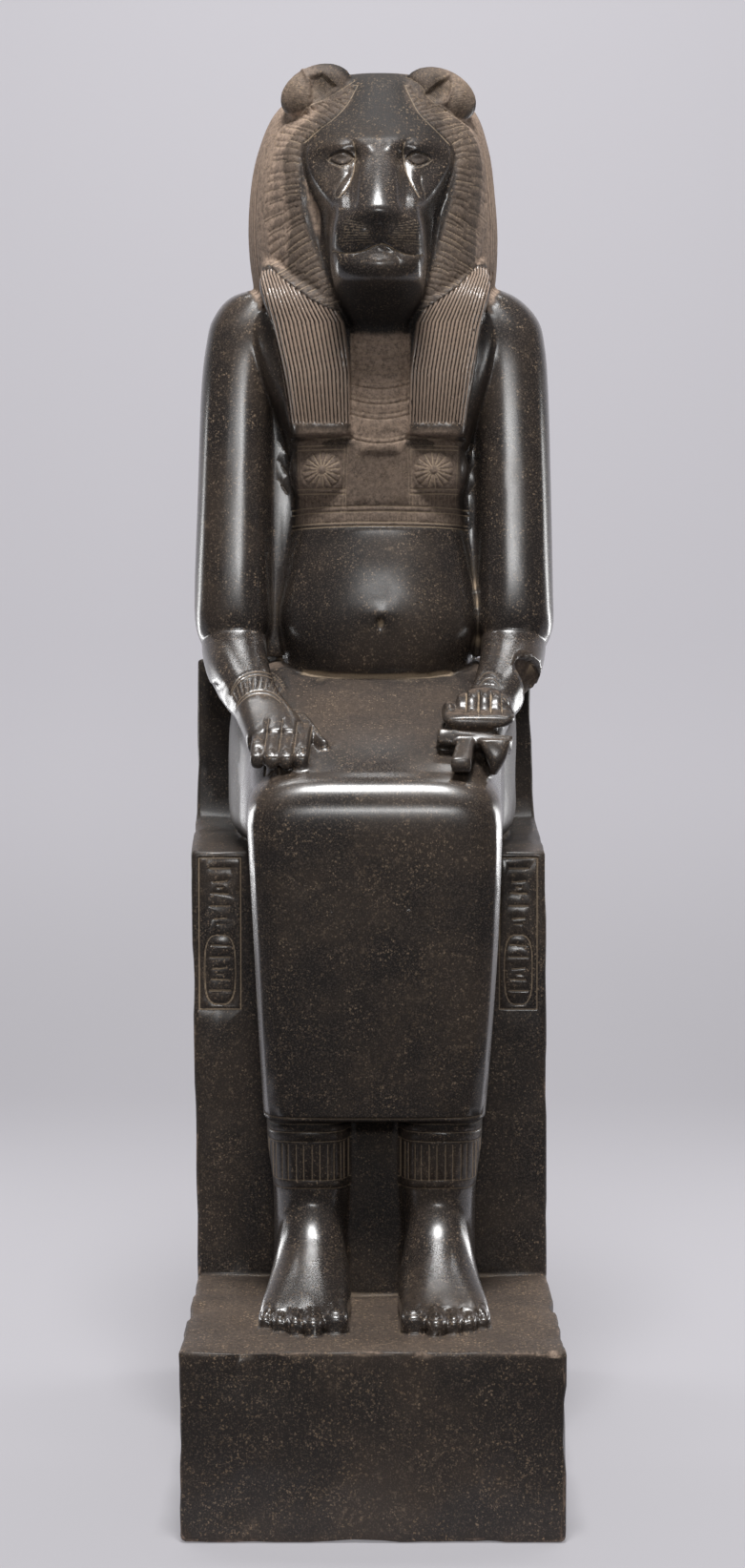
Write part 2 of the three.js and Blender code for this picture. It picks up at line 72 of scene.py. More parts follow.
BASE_HEIGHT = 267.0
BASE_DEPTH = 960.0
FOOT_SPACE = 460.0
HEM = 270.0
CELL = 3.0
MOST_TRIANGLES = 194000
CARVING_SPARED = 1.2e-3
BOX_MARGIN = 1e-5
ANY_DEPTH: Span = (-400.0, 420.0)
ANY_WAY = -1.01
FACE_FRONT_SHARE = 0.9
FACE_BACK = 190.0
EDGE_REACH = 16.0
LAPPET_STRANDS = 17
WIG_STRANDS = 110
WIG_SQUARENESS = 2.6
SHRINK = 0.5
REGROW = -0.52
GUARD_LEVELS = 8
LEAST_GUARD = 0.04
FIELDS = ("worked", "dust", "matte", "pits", "painted_shade", "phase", "combed")


class Lift(Enum):
    """Direction in which the sections of a lump rise."""

    FRONT = (0.0, -1.0, 0.0)
    UP = (0.0, 0.0, 1.0)


class Facing(Enum):
    """Side of the statue that a carving is drawn on: two drawing axes and the way the side looks."""

    FRONT = (0, 2, 1, -1.0)
    TOP = (0, 1, 2, 1.0)


def between(values: Sequence[Sequence[float]], share: float) -> Array:
    """Follows a smooth curve through a row of values.

    Args:
        values: Rows of equal length.
        share: How far along the rows, from 0 to 1.

    Returns:
        The row at that share.
    """
    rows = np.asarray(values, float)
    last = len(rows) - 1
    at = min(max(share, 0.0) * last, last - 1e-9)
    i = int(at)
    t = at - i
    before, start = rows[max(i - 1, 0)], rows[i]
    end, after = rows[i + 1], rows[min(i + 2, last)]
    slope_start, slope_end = (end - before) / 2, (after - start) / 2
    rise = end - start
    bend = 3 * rise - 2 * slope_start - slope_end
    twist = slope_start + slope_end - 2 * rise
    return start + t * (slope_start + t * (bend + t * twist))


def flipped(stations: Sequence[Station], shift: float = 0.0) -> tuple[Station, ...]:
    """Mirrors stations left to right and shifts them sideways."""
    return tuple((-row[0] + shift, *row[1:]) for row in stations)


def spread(low: float, high: float, count: int) -> list[float]:
    """Evenly spaced values from low to high, both included."""
    return [low + (high - low) * i / (count - 1) for i in range(count)]


def tube(around: int, rings: int) -> bmesh.types.BMesh:
    """Makes an upright closed tube, one high and one in radius.

    Args:
        around: Corners in a section.
        rings: Steps along the tube.

    Returns:
        The tube.
    """
    shape = bmesh.new()
    bmesh.ops.create_cone(shape, cap_ends=True, segments=around, radius1=1, radius2=1, depth=1)
    sides = [edge for edge in shape.edges if abs(edge.verts[0].co.z - edge.verts[1].co.z) > 0.5]
    bmesh.ops.subdivide_edges(shape, edges=sides, cuts=rings - 1, use_grid_fill=True)
    return shape


def soften(shape: bmesh.types.BMesh, edges: Sequence[bmesh.types.BMEdge], width: float) -> None:
    """Rounds edges off to a width."""
    bmesh.ops.bevel(
        shape, geom=edges, offset=width, segments=3, profile=0.5, affect="EDGES", clamp_overlap=True
    )


class Clay:
    """Overlapping closed shapes in figure millimetres, joined later into one skin."""

    def __init__(self) -> None:
        """Starts with an empty heap."""
        self.made = bmesh.new()

    def _take(self, shape: bmesh.types.BMesh) -> None:
        """Adds a finished shape to the heap and frees it.

        Args:
            shape: The shape, which is used up.
        """
        bmesh.ops.recalc_face_normals(shape, faces=shape.faces)
        mesh = bpy.data.meshes.new("shape")
        shape.to_mesh(mesh)
        shape.free()
        self.made.from_mesh(mesh)
        bpy.data.meshes.remove(mesh)

    def loft(self, stations: Sequence[Station], lift: Lift, around: int, rings: int) -> None:
        """Adds a lump whose round sections follow the stations.

        Args:
            stations: Rows of centre x, y, z, half width, reach along the lift, reach behind, squareness.
            lift: Direction in which the sections rise.
            around: Corners in a section.
            rings: Steps along the lump.
        """
        shape = tube(around, rings)
        rise = Vector(lift.value)
        for vert in shape.verts:
            x, y, z, wide, fore, aft, power = between(stations, vert.co.z + 0.5)
            angle = math.atan2(vert.co.y, vert.co.x)
            beside, ahead = math.cos(angle), math.sin(angle)
            size = (abs(beside) ** power + abs(ahead) ** power) ** (-1 / power)
            reach = ahead * size * (fore if ahead > 0 else aft)
            vert.co = Vector((x + beside * size * wide, y, z)) + rise * reach
        self._take(shape)

    def ball(
        self, x: float, y: float, z: float, wide: float, deep: float, tall: float, roll: float = 0.0
    ) -> None:
        """Adds an ellipsoid with the given half measures, turned by the roll about the axis to the back.

        Args:
            x: Centre, to the right.
            y: Centre, to the back.
            z: Centre, upwards.
            wide: Half width.
            deep: Half depth.
            tall: Half height.
            roll: Radians about the axis to the back.
        """
        shape = bmesh.new()
        size = Matrix.Diagonal((wide, deep, tall, 1))
        place = Matrix.Translation((x, y, z)) @ Matrix.Rotation(roll, 4, "Y") @ size
        bmesh.ops.create_uvsphere(shape, u_segments=32, v_segments=20, radius=1, matrix=place)
        self._take(shape)

    def block(
        self,
        x: float,
        y: float,
        z: float,
        wide: float,
        deep: float,
        tall: float,
        turn: float = 0.0,
        tilt: float = 0.0,
        roll: float = 0.0,
        soft: float = 0.0,
    ) -> None:
        """Adds a box.

        Args:
            x: Centre, to the right.
            y: Centre, to the back.
            z: Centre, upwards.
            wide: Full width.
            deep: Full depth.
            tall: Full height.
            turn: Radians about the upright.
            tilt: Radians about the cross axis, before the turn.
            roll: Radians about the axis that runs to the back, before the tilt.
            soft: Width of the rounding of its edges.
        """
        shape = bmesh.new()
        bmesh.ops.create_cube(shape, size=1, matrix=Matrix.Diagonal((wide, deep, tall, 1)))
        if soft:
            soften(shape, shape.edges[:], soft)
        tipped, rolled = Matrix.Rotation(tilt, 4, "X"), Matrix.Rotation(roll, 4, "Y")
        turned = Matrix.Rotation(turn, 4, "Z") @ tipped @ rolled
        place = Matrix.Translation((x, y, z)) @ turned
        bmesh.ops.transform(shape, matrix=place, verts=shape.verts)
        self._take(shape)

    def mask(self, rows: Sequence[Station], around: int = 176, rings: int = 190) -> None:
        """Adds a face whose level sections follow rows of points, closed behind at a flat back.

        Args:
            rows: Rows of centre x, height, then pairs of distance from the middle line and y.
            around: Corners in a section.
            rings: Steps from the lowest row to the highest.
        """
        shape = tube(around, rings)
        levels: dict[float, tuple[float, float, Array]] = {}
        for vert in shape.verts:
            level = round(vert.co.z + 0.5, 5)
            if level not in levels:
                middle, height, *flat = between(rows, level)
                right = np.array(flat).reshape(-1, 2)
                levels[level] = (middle, height, np.concatenate([right[:0:-1] * (-1, 1), right]))
            middle, height, points = levels[level]
            turn = (math.atan2(vert.co.y, vert.co.x) / (2 * math.pi)) % 1.0
            if turn <= FACE_FRONT_SHARE:
                off, y = between(points, turn / FACE_FRONT_SHARE)
            else:
                behind = (turn - FACE_FRONT_SHARE) / (1 - FACE_FRONT_SHARE)
                off, y = points[-1][0] * (1 - 2 * behind), FACE_BACK
            vert.co = Vector((middle + off, y, height))
        self._take(shape)

    def prism(
        self, profile: Sequence[Point], half_width: float, soft: float, lean: Callable[[Vector], float]
    ) -> None:
        """Adds a side profile of (y, z) points drawn out across the statue.

        Args:
            profile: Corners of the outline.
            half_width: Reach to either side.
            soft: Rounding of the edges.
            lean: How far each point moves to the left.
        """
        shape = bmesh.new()
        corners = [shape.verts.new((-half_width, y, z)) for y, z in profile]
        side = shape.faces.new(corners)
        drawn = bmesh.ops.extrude_face_region(shape, geom=[side])
        moved = [item for item in drawn["geom"] if isinstance(item, bmesh.types.BMVert)]
        bmesh.ops.translate(shape, vec=(2 * half_width, 0, 0), verts=moved)
        sharp = [edge for edge in shape.edges if edge.is_manifold and edge.calc_face_angle(0) > 0.6]
        soften(shape, sharp, soft)
        for vert in shape.verts:
            vert.co.x -= lean(vert.co)
        self._take(shape)

    def skin(self, voxel: float) -> bpy.types.Mesh:
        """Joins the heap into one closed skin.

        Args:
            voxel: Cell size in millimetres.

        Returns:
            The skin, in figure millimetres.
        """
        mesh = bpy.data.meshes.new("heap")
        self.made.to_mesh(mesh)
        self.made.free()
        holder = bpy.data.objects.new("heap", mesh)
        bpy.context.scene.collection.objects.link(holder)
        remesh = holder.modifiers.new("joined", "REMESH")
        remesh.mode = "VOXEL"
        remesh.voxel_size = voxel
        remesh.adaptivity = 0.0
        done = applied(holder)
        bpy.data.objects.remove(holder)
        bpy.data.meshes.remove(mesh)
        return done


def applied(holder: bpy.types.Object) -> bpy.types.Mesh:
    """Makes a mesh of an object with its modifiers done."""
    graph = bpy.context.evaluated_depsgraph_get()
    return bpy.data.meshes.new_from_object(holder.evaluated_get(graph))


@dataclass(frozen=True)
class Stroke:
    """A carved line on one side of the statue.

    Attributes:
        line: Points of the line, in the side's two drawing axes.
        width: Half width of the groove in millimetres.
        depth: Depth of the groove; a negative depth is a ridge.
        dust: How pale the line is, from 0 to 1.
    """

    line: tuple[Point, ...]
    width: float = 1.5
    depth: float = 1.5
    dust: float = 0.6


@dataclass(frozen=True)
class Mound:
    """A soft swelling or hollow, drawn on one side of the statue."""

    x: float
    z: float
    wide: float
    tall: float
    height: float


@dataclass(frozen=True)
class Patch:
    """A flat step up or down inside an outline, with a crisp edge."""

    outline: tuple[Point, ...]
    height: float
    edge: float = 2.0


def curve(points: Sequence[Point], steps: int = 24) -> tuple[Point, ...]:
    """Smooths a row of points into a finer one."""
    return tuple(tuple(float(v) for v in between(points, i / steps)) for i in range(steps + 1))


def oval(
    x: float, z: float, wide: float, tall: float, power: float = 2.0, steps: int = 40
) -> tuple[Point, ...]:
    """A closed ring of points: an ellipse, or a squarer oval for a higher power.

    Args:
        x: Centre across.
        z: Centre upwards.
        wide: Half width.
        tall: Half height.
        power: Squareness, 2 for an ellipse.
        steps: Number of sides.

    Returns:
        The ring's points.
    """
    ring = []
    for i in range(steps + 1):
        angle = 2 * math.pi * i / steps
        c, s = math.cos(angle), math.sin(angle)
        size = (abs(c) ** power + abs(s) ** power) ** (-1 / power)
        ring.append((x + wide * size * c, z + tall * size * s))
    return tuple(ring)


def distance_to(spots: Array, line: Sequence[Point]) -> Array:
    """Distance from each spot to a line of points.

    Args:
        spots: Places, one to a row.
        line: Points of the line.

    Returns:
        One distance for each spot.
    """
    nearest = np.full(len(spots), np.inf)
    for (ax, az), (bx, bz) in zip(line[:-1], line[1:]):
        along = np.array([bx - ax, bz - az])
        length = float(along @ along) or 1e-9
        off = spots - (ax, az)
        share = np.clip(off @ along / length, 0, 1)
        gap = off - share[:, None] * along
        nearest = np.minimum(nearest, (gap**2).sum(1))
    return np.sqrt(nearest)


def inside(spots: Array, outline: Sequence[Point]) -> Array:
    """Tells which spots lie inside a closed outline.

    Args:
        spots: Places, one to a row.
        outline: Corners in order.

    Returns:
        True for each spot inside.
    """
    x, z = spots[:, 0], spots[:, 1]
    hit = np.zeros(len(spots), bool)
    for (ax, az), (bx, bz) in zip(outline, (*outline[1:], outline[0])):
        if az == bz:
            continue
        crosses = (az > z) != (bz > z)
        hit ^= crosses & (x < (bx - ax) * (z - az) / (bz - az) + ax)
    return hit


def eased(value: Array) -> Array:
    """Smooth step of values from 0 to 1."""
    held = np.clip(value, 0, 1)
    return held * held * (3 - 2 * held)


class Surface:
    """The statue's skin, held as arrays in figure millimetres while it is carved.

    Attributes:
        worked: How finely each corner is carved, so that thinning spares it.
        dust: Pale dust in grooves and hollows.
        matte: Loss of polish.
        pits: Density of pits.
        painted_shade: Painted shade under the chin, on the dress's undersides, under the hem and the lappets'
            ends, and a painted darkening of the forehead that also dulls it.
        phase: Number of the hair strand, running on between strands.
        combed: Where the strands show; the material lightens their ridges as a painted highlight and darkens
            their grooves as painted shade.
    """

    worked: Array
    dust: Array
    matte: Array
    pits: Array
    painted_shade: Array
    phase: Array
    combed: Array

    def __init__(self, mesh: bpy.types.Mesh) -> None:
        """Reads a mesh and clears the fields.

        Args:
            mesh: The joined skin, in figure millimetres.
        """
        self.mesh = mesh
        self._read()
        for name in FIELDS:
            setattr(self, name, np.zeros(len(self.points)))

    def _read(self) -> None:
        """Takes the corners, edges and normals out of the mesh."""
        count = len(self.mesh.vertices)
        held = np.empty(count * 3, np.float32)
        self.mesh.attributes["position"].data.foreach_get("vector", held)
        self.points = held.reshape(-1, 3).astype(float)
        self.edges = np.empty(len(self.mesh.edges) * 2, np.int32)
        self.mesh.edges.foreach_get("vertices", self.edges)
        self.edges = self.edges.reshape(-1, 2)
        self.degree = np.maximum(np.bincount(self.edges.ravel(), minlength=count), 1)
        self.turn_normals()

    def turn_normals(self) -> None:
        """Writes the corners back to the mesh and reads its normals."""
        self.mesh.attributes["position"].data.foreach_set("vector", self.points.ravel().astype(np.float32))
        self.mesh.update()
        facing = np.empty(len(self.points) * 3, np.float32)
        self.mesh.vertex_normals.foreach_get("vector", facing)
        self.normals = facing.reshape(-1, 3).astype(float)

    def mean_of(self, values: Array) -> Array:
        """Mean of each corner's neighbours.

        Args:
            values: One value for each corner.

        Returns:
            One mean for each corner.
        """
        a, b = self.edges[:, 0], self.edges[:, 1]
        total = np.bincount(a, values[b], len(values)) + np.bincount(b, values[a], len(values))
        return total / self.degree

    def smooth(self, rounds: int, weight: Array | float = 1.0) -> None:
        """Takes the ripples out of the skin without shrinking it.

        Args:
            rounds: Number of passes.
            weight: Strength at each corner, from 0 to 1.
        """
        for i in range(2 * rounds):
            pull = SHRINK if i % 2 == 0 else REGROW
            for axis in range(3):
                held = self.points[:, axis]
                held += pull * weight * (self.mean_of(held) - held)
        self.turn_normals()

    def blend(self, rounds: int, weight: Array) -> None:
        """Melts neighbouring forms into each other where the weight is high.

        Args:
            rounds: Number of passes.
            weight: Strength at each corner, from 0 to 1.
        """
        for _ in range(rounds):
            for axis in range(3):
                held = self.points[:, axis]
                held += SHRINK * weight * (self.mean_of(held) - held)
        self.turn_normals()

    def refine(self, chosen: Array) -> None:
        """Splits the edges between chosen corners in half.

        Args:
            chosen: True for each chosen corner.
        """
        made = bmesh.new()
        made.from_mesh(self.mesh)
        made.edges.ensure_lookup_table()
        both = np.flatnonzero(chosen[self.edges].all(1))
        bmesh.ops.subdivide_edges(made, edges=[made.edges[i] for i in both], cuts=1, use_grid_fill=True)
        made.to_mesh(self.mesh)
        made.free()
        before = len(self.points)
        self._read()
        for name in FIELDS:
            setattr(self, name, np.concatenate([getattr(self, name), np.zeros(len(self.points) - before)]))

    def seen(self, facing: Facing, depth: Span, least: float = 0.15) -> tuple[Array, Array]:
        """Picks the corners on one side of the statue.

        Args:
            facing: The side.
            depth: Lowest and highest value on the axis that the side looks along.
            least: How squarely a corner must face that way.

        Returns:
            Their numbers and their places in the side's drawing axes.
        """
        across, up, look, way = facing.value
        deep = self.points[:, look]
        ok = (self.normals[:, look] * way > least) & (deep > depth[0]) & (deep < depth[1])
        chosen = np.flatnonzero(ok)
        return chosen, self.points[chosen][:, (across, up)]

    def incise(
        self,
        strokes: Iterable[Stroke],
        facing: Facing = Facing.FRONT,
        depth: Span = ANY_DEPTH,
        least: float = 0.15,
    ) -> None:
        """Carves lines into one side of the statue.

        Args:
            strokes: The lines.
            facing: The side.
            depth: Lowest and highest value on the axis that the side looks along.
            least: How squarely a corner must face that way.
        """
        chosen, spots = self.seen(facing, depth, least)
        cut = np.zeros(len(chosen))
        raised = np.zeros(len(chosen))
        dust = np.zeros(len(chosen))
        worked = np.zeros(len(chosen))
        for stroke in strokes:
            line = np.array(stroke.line)
            reach = 2.6 * stroke.width
            low, high = line.min(0) - reach, line.max(0) + reach
            near = np.flatnonzero(((spots > low) & (spots < high)).all(1))
            if not len(near):
                continue
            gap = distance_to(spots[near], stroke.line) / stroke.width
            shape = np.exp(-(gap**2))
            if stroke.depth >= 0:
                cut[near] = np.maximum(cut[near], stroke.depth * shape)
            else:
                raised[near] = np.maximum(raised[near], -stroke.depth * shape)
            dust[near] = np.maximum(dust[near], stroke.dust * np.exp(-((gap / 0.85) ** 2)))
            worked[near] = np.maximum(worked[near], np.exp(-((gap / 1.5) ** 2)))
        self.points[chosen] += self.normals[chosen] * (raised - cut)[:, None]
        self.dust[chosen] = np.maximum(self.dust[chosen], dust)
        self.worked[chosen] = np.maximum(self.worked[chosen], worked)
        self.turn_normals()

    def swell(self, mounds: Iterable[Mound], facing: Facing = Facing.FRONT, depth: Span = ANY_DEPTH) -> None:
        """Raises or sinks soft mounds straight towards the side.

        Args:
            mounds: The mounds.
            facing: The side.
            depth: Lowest and highest value on the axis that the side looks along.
        """
        chosen, spots = self.seen(facing, depth)
        rise = np.zeros(len(chosen))
        for mound in mounds:
            across = (spots[:, 0] - mound.x) / mound.wide
            up = (spots[:, 1] - mound.z) / mound.tall
            rise += mound.height * np.exp(-(across**2 + up**2))
        _, _, look, way = facing.value
        self.points[chosen, look] += way * rise
        self.turn_normals()

    def step(self, patches: Iterable[Patch], facing: Facing = Facing.FRONT, depth: Span = ANY_DEPTH) -> None:
        """Raises or sinks whole outlines with crisp edges.

        Args:
            patches: The outlines.
            facing: The side.
            depth: Lowest and highest value on the axis that the side looks along.
        """
        chosen, spots = self.seen(facing, depth)
        rise = np.zeros(len(chosen))
        for patch in patches:
            closed = (*patch.outline, patch.outline[0])
            line = np.array(closed)
            near = np.flatnonzero(((spots > line.min(0) - 9) & (spots < line.max(0) + 9)).all(1))
            gap = distance_to(spots[near], closed)
            signed = np.where(inside(spots[near], patch.outline), gap, -gap)
            rise[near] += patch.height * eased(0.5 + signed / patch.edge / 2)
            edge = chosen[near]
            self.worked[edge] = np.maximum(self.worked[edge], 0.8 * np.exp(-((gap / patch.edge / 1.5) ** 2)))
        self.points[chosen] += self.normals[chosen] * rise[:, None]
        self.turn_normals()

    def dull(
        self, outline: Sequence[Point], amount: float, facing: Facing, depth: Span, edge: float = 3.0
    ) -> None:
        """Marks an outline on one side as unpolished.

        Args:
            outline: Corners in order.
            amount: Loss of polish, from 0 to 1.
            facing: The side.
            depth: Lowest and highest value on the axis that the side looks along.
            edge: Width of the soft edge.
        """
        chosen, spots = self.seen(facing, depth, ANY_WAY)
        closed = (*outline, outline[0])
        line = np.array(closed)
        near = np.flatnonzero(((spots > line.min(0) - edge) & (spots < line.max(0) + edge)).all(1))
        gap = distance_to(spots[near], closed)
        signed = np.where(inside(spots[near], outline), gap, -gap)
        share = amount * eased(0.5 + signed / edge / 2)
        self.matte[chosen[near]] = np.maximum(self.matte[chosen[near]], share)

    def chip(self, chips: Iterable[tuple[Sequence[float], float]], among: Array) -> None:
        """Knocks chips out of edges where balls reach into them.

        Args:
            chips: Centre and radius of each ball.
            among: Numbers of the corners that may be moved.
        """
        for centre, radius in chips:
            off = self.points[among] - centre
            hit = np.flatnonzero((off**2).sum(1) < radius**2)
            far = np.maximum(np.sqrt((off[hit] ** 2).sum(1)), 1e-6)
            self.points[among[hit]] = centre + off[hit] * (radius / far)[:, None]
            self.matte[among[hit]] = 0.8

    def split(
        self, centre: Sequence[float], radius: float, normal: Sequence[float], offset: float = 0.0
    ) -> None:
        """Breaks the stone off flat beyond a plane, near a place.

        Args:
            centre: The place.
            radius: How far the break reaches from the place.
            normal: Direction in which the stone is lost.
            offset: How far the plane lies from the place along the normal.
        """
        way = np.array(normal, float)
        way /= np.linalg.norm(way)
        off = self.points - centre
        beyond = off @ way - offset
        hit = np.flatnonzero((beyond > 0) & ((off**2).sum(1) < radius**2))
        self.points[hit] -= way * beyond[hit, None]
        self.matte[hit] = 0.45


class Part(Protocol):
    """A part of the statue: its mass, and the carving on it."""

    def mass(self, clay: Clay) -> None:
        """Adds the part's closed shapes."""

    def carve(self, skin: Surface) -> None:
        """Carves the part's details into the joined skin."""


@dataclass(frozen=True)
class BlockSizes:
    """Measures of the base and the throne, in millimetres."""

    base_width: float = 532.0
    throne_width: float = 532.0
    throne_depth: float = 500.0
    seat: float = 648.0
    backrest: float = 933.0
    backrest_thickness: float = 165.0
    wear: float = 6.0
    lean: float = 6.0
    skew: float = 8.0
    flare: float = 6.0

    def shift(self, spot: Sequence[float]) -> float:
        """Tells how far a point of the leaning, widening throne moves to the left.

        Args:
            spot: The point.

        Returns:
            The move in millimetres.
        """
        height = min(max(spot[2] / self.seat, 0.0), 1.0)
        back = min(max(spot[1] / (self.throne_depth - self.backrest_thickness), 0.0), 1.0)
        return height * (self.lean + self.skew * back - spot[0] * self.flare / self.throne_width)


@dataclass(frozen=True)
class BlockAndThrone:
    """The base block, the throne with its low backrest, its incised panels and the worn edges."""

    sizes: BlockSizes = BlockSizes()

    def mass(self, clay: Clay) -> None:
        """Adds the base and the throne.

        Args:
            clay: The heap that takes the shapes.
        """
        s = self.sizes
        clay.block(
            0,
            s.throne_depth - BASE_DEPTH / 2,
            -BASE_HEIGHT / 2,
            s.base_width,
            BASE_DEPTH,
            BASE_HEIGHT,
            soft=s.wear,
        )
        rest = s.throne_depth - s.backrest_thickness
        rise = s.backrest - s.seat
        bend = [
            (
                rest * u,
                s.seat + rise * (0.1 * u / 0.55 if u < 0.55 else 0.1 + 0.9 * ((u - 0.55) / 0.45) ** 2.1),
            )
            for u in spread(0, 1, 12)
        ]
        clay.prism(
            [(0, -60), *bend, (s.throne_depth, s.backrest), (s.throne_depth, -60)], s.throne_width / 2,
            s.wear, s.shift,
        )

    def _panel(self, x: float, wide: float, rows: Sequence[float]) -> list[Stroke]:
        """Frame lines, an oval ring and rows of plain strokes of one panel.

        Args:
            x: Middle of the panel.
            wide: Width between the frame lines.
            rows: Heights of the strokes.

        Returns:
            The panel's strokes.
        """
        top, low = 638.0, 408.0
        left, right = x - wide / 2, x + wide / 2
        lines = [
            ((left, top), (right, top)),
            ((left, low), (left, top)),
            ((right, low), (right, top)),
            ((left, low), (right, low)),
        ]
        strokes = [Stroke(line, 1.1, 1.3, 0.75) for line in lines]
        strokes.append(Stroke(oval(x, 468, wide * 0.37, 53, 3.2), 1.1, 1.3, 0.75))
        for i, z in enumerate(rows):
            span = wide * (0.5, 0.34, 0.42)[i % 3] / 2
            tilt = (0.0, 0.8, -0.6)[i % 3]
            strokes.append(Stroke(((x - span, z - tilt), (x + span, z + tilt)), 1.3, 1.4, 0.75))
            if i % 3 == 1:
                strokes.append(Stroke(((x - span * 0.4, z - 9), (x + span * 0.5, z - 9)), 1.2, 1.2, 0.65))
        return strokes

    def carve(self, skin: Surface) -> None:
        """Carves the panels and knocks the edges about.

        Args:
            skin: The statue's joined skin.
        """
        rows = [622.0, 602.0, 584.0, 565.0, 546.0, 505.0, 487.0, 470.0, 453.0, 436.0]
        for x, wide in ((-231, 63), (221, 57)):
            skin.incise(self._panel(x, wide, rows), Facing.FRONT, (-12, 30))
        skin.chip(self._chips(), np.flatnonzero(self._near_edges(skin)))
        skin.turn_normals()

    def _near_edges(self, skin: Surface) -> Array:
        """Tells which corners lie close to the block's or the throne's edges.

        Args:
            skin: The statue's joined skin.

        Returns:
            True for each such corner.
        """
        s = self.sizes
        x, y, z = skin.points.T
        height = np.clip(z / s.seat, 0, 1)
        lean = height * (s.lean + s.skew * np.clip(y / (s.throne_depth - s.backrest_thickness), 0, 1))
        reach = EDGE_REACH
        side = np.abs(x + lean) > (s.throne_width + height * s.flare) / 2 - reach
        ends = (y < reach - FOOT_SPACE) | (y > s.throne_depth - reach) | (np.abs(y) < reach)
        levels = (np.abs(z) < reach) | (z < reach - BASE_HEIGHT)
        levels |= (np.abs(z - s.seat) < reach) | (np.abs(z - s.backrest) < reach)
        back = (np.abs(y - s.throne_depth + s.backrest_thickness) < reach) & (z > s.seat)
        return (side.astype(int) + ends + levels + back) > 1

    def _chips(self) -> list[tuple[Sequence[float], float]]:
        """The larger chips seen on the base, and small random ones along every edge.

        Returns:
            Centre and radius of each chip.
        """
        s = self.sizes
        half, width = s.base_width / 2, s.throne_width / 2
        front, back, foot = -FOOT_SPACE, s.throne_depth, -BASE_HEIGHT
        chips: list[tuple[Sequence[float], float]] = [
            ((half - 18, front - 7, 3), 14),
            ((half - 40, front - 7, 4), 12),
            ((half + 5, front - 5, -34), 11),
            ((half + 5, front - 5, -70), 10),
            ((half + 5, front - 6, -186), 12),
            ((-half - 5, front - 7, foot - 2), 18),
            ((half + 5, front - 7, foot - 2), 16),
            ((-half + 20, front - 7, 5), 11),
            ((-half - 6, front + 10, 5), 12),
            ((-86, front - 8, 6), 11),
            ((60, front - 7, 6), 9),
            ((152, front - 8, 6), 12),
        ]
        dice = np.random.default_rng(7)
        edges: list[tuple[Station, Station, int]] = [
            ((-half, front, 0), (half, front, 0), 34),
            ((-half, front, foot), (half, front, foot), 34),
            ((-half, back, foot), (half, back, foot), 20),
            ((-width, 335, s.backrest), (width, 335, s.backrest), 18),
            ((-width, back, s.backrest), (width, back, s.backrest), 18),
        ]
        for x, rim in ((-half, -width), (half, width)):
            edges += [
                ((x, front, foot), (x, front, 0), 18),
                ((x, front, 0), (x, 0, 0), 20),
                ((x, front, foot), (x, back, foot), 36),
                ((rim, 0, 0), (rim, 0, s.seat), 26),
                ((rim, 0, s.seat), (rim, 335, s.seat + 90), 12),
                ((rim, back, 0), (rim, back, s.backrest), 26),
            ]
        for start, end, count in edges:
            a, b = np.array(start), np.array(end)
            for _ in range(count):
                spot = a + (b - a) * dice.random()
                radius = 5 + 9 * dice.random() ** 2.5
                out = np.array([0.0 if a[0] != b[0] else np.sign(a[0]), -1.0 if spot[1] < 100 else 1.0, 1.0])
                out[2] = -1.0 if spot[2] < 5 + foot else 1.0
                if a[1] != b[1]:
                    out[1] = 0
                if a[2] != b[2] and a[1] == b[1]:
                    out[2] = 0
                spot[0] -= s.shift(spot) if spot[2] > 0 else 0.0
                chips.append((spot + 0.5 * radius * out, radius))
        return chips


SKIRT: tuple[Station, ...] = (
    (3, 30, HEM, 164, 230, 20, 10),
    (4, 30, 380, 171, 238, 20, 12),
    (5, 30, 520, 179, 247, 20, 12),
    (4, 30, 650, 185, 254, 20, 11),
    (3, 30, 700, 187, 256, 20, 10),
    (3, 30, 728, 187, 254, 20, 9),
    (3, 30, 745, 183, 248, 20, 8),
    (3, 30, 758, 176, 240, 20, 7),
    (3, 30, 768, 167, 229, 20, 6),
    (3, 30, 775, 155, 214, 20, 6),
    (3, 30, 779, 138, 194, 20, 5),
)
LAP: tuple[Station, ...] = (
    (0, -178, 690, 150, 87, 40, 5),
    (0, -162, 692, 169, 97, 60, 5),
    (0, -120, 700, 179, 113, 66, 5),
    (0, -40, 715, 188, 137, 70, 5),
    (0, 40, 735, 210, 156, 85, 5),
    (0, 120, 755, 223, 174, 110, 5),
    (0, 200, 770, 222, 180, 125, 4),
)


@dataclass(frozen=True)
class Dress:
    """The long dress over the lap and the shins, with its hem and the fine cracks on its front."""

    skirt: tuple[Station, ...] = SKIRT
    lap: tuple[Station, ...] = LAP

    def mass(self, clay: Clay) -> None:
        """Adds the skirt and the lap."""
        clay.loft(self.skirt, Lift.FRONT, 72, 60)
        clay.loft(self.lap, Lift.UP, 72, 48)

    def carve(self, skin: Surface) -> None:
        """Carves the hem line and the cracks.

        Args:
            skin: The statue's joined skin.
        """
        hem = ((-160, 277), (-126, 276), (-70, 275), (0, 275), (70, 275), (126, 276), (160, 277))
        skin.incise([Stroke(hem, 1.6, 1.4, 0.55)], Facing.FRONT, (-260, 0))
        cracks = (
            ((-46, 684), (-39, 649), (-47, 622)),
            ((-124, 635), (-99, 617), (-83, 621)),
            ((-42, 649), (-17, 626), (6, 608)),
            ((27, 604), (54, 580), (89, 552)),
            ((-62, 573), (-53, 594), (-55, 615)),
            ((57, 1029), (94, 1016), (131, 1009), (162, 1004)),
        )
        skin.incise([Stroke(curve(line, 10), 0.9, 0.3, 0.35) for line in cracks])


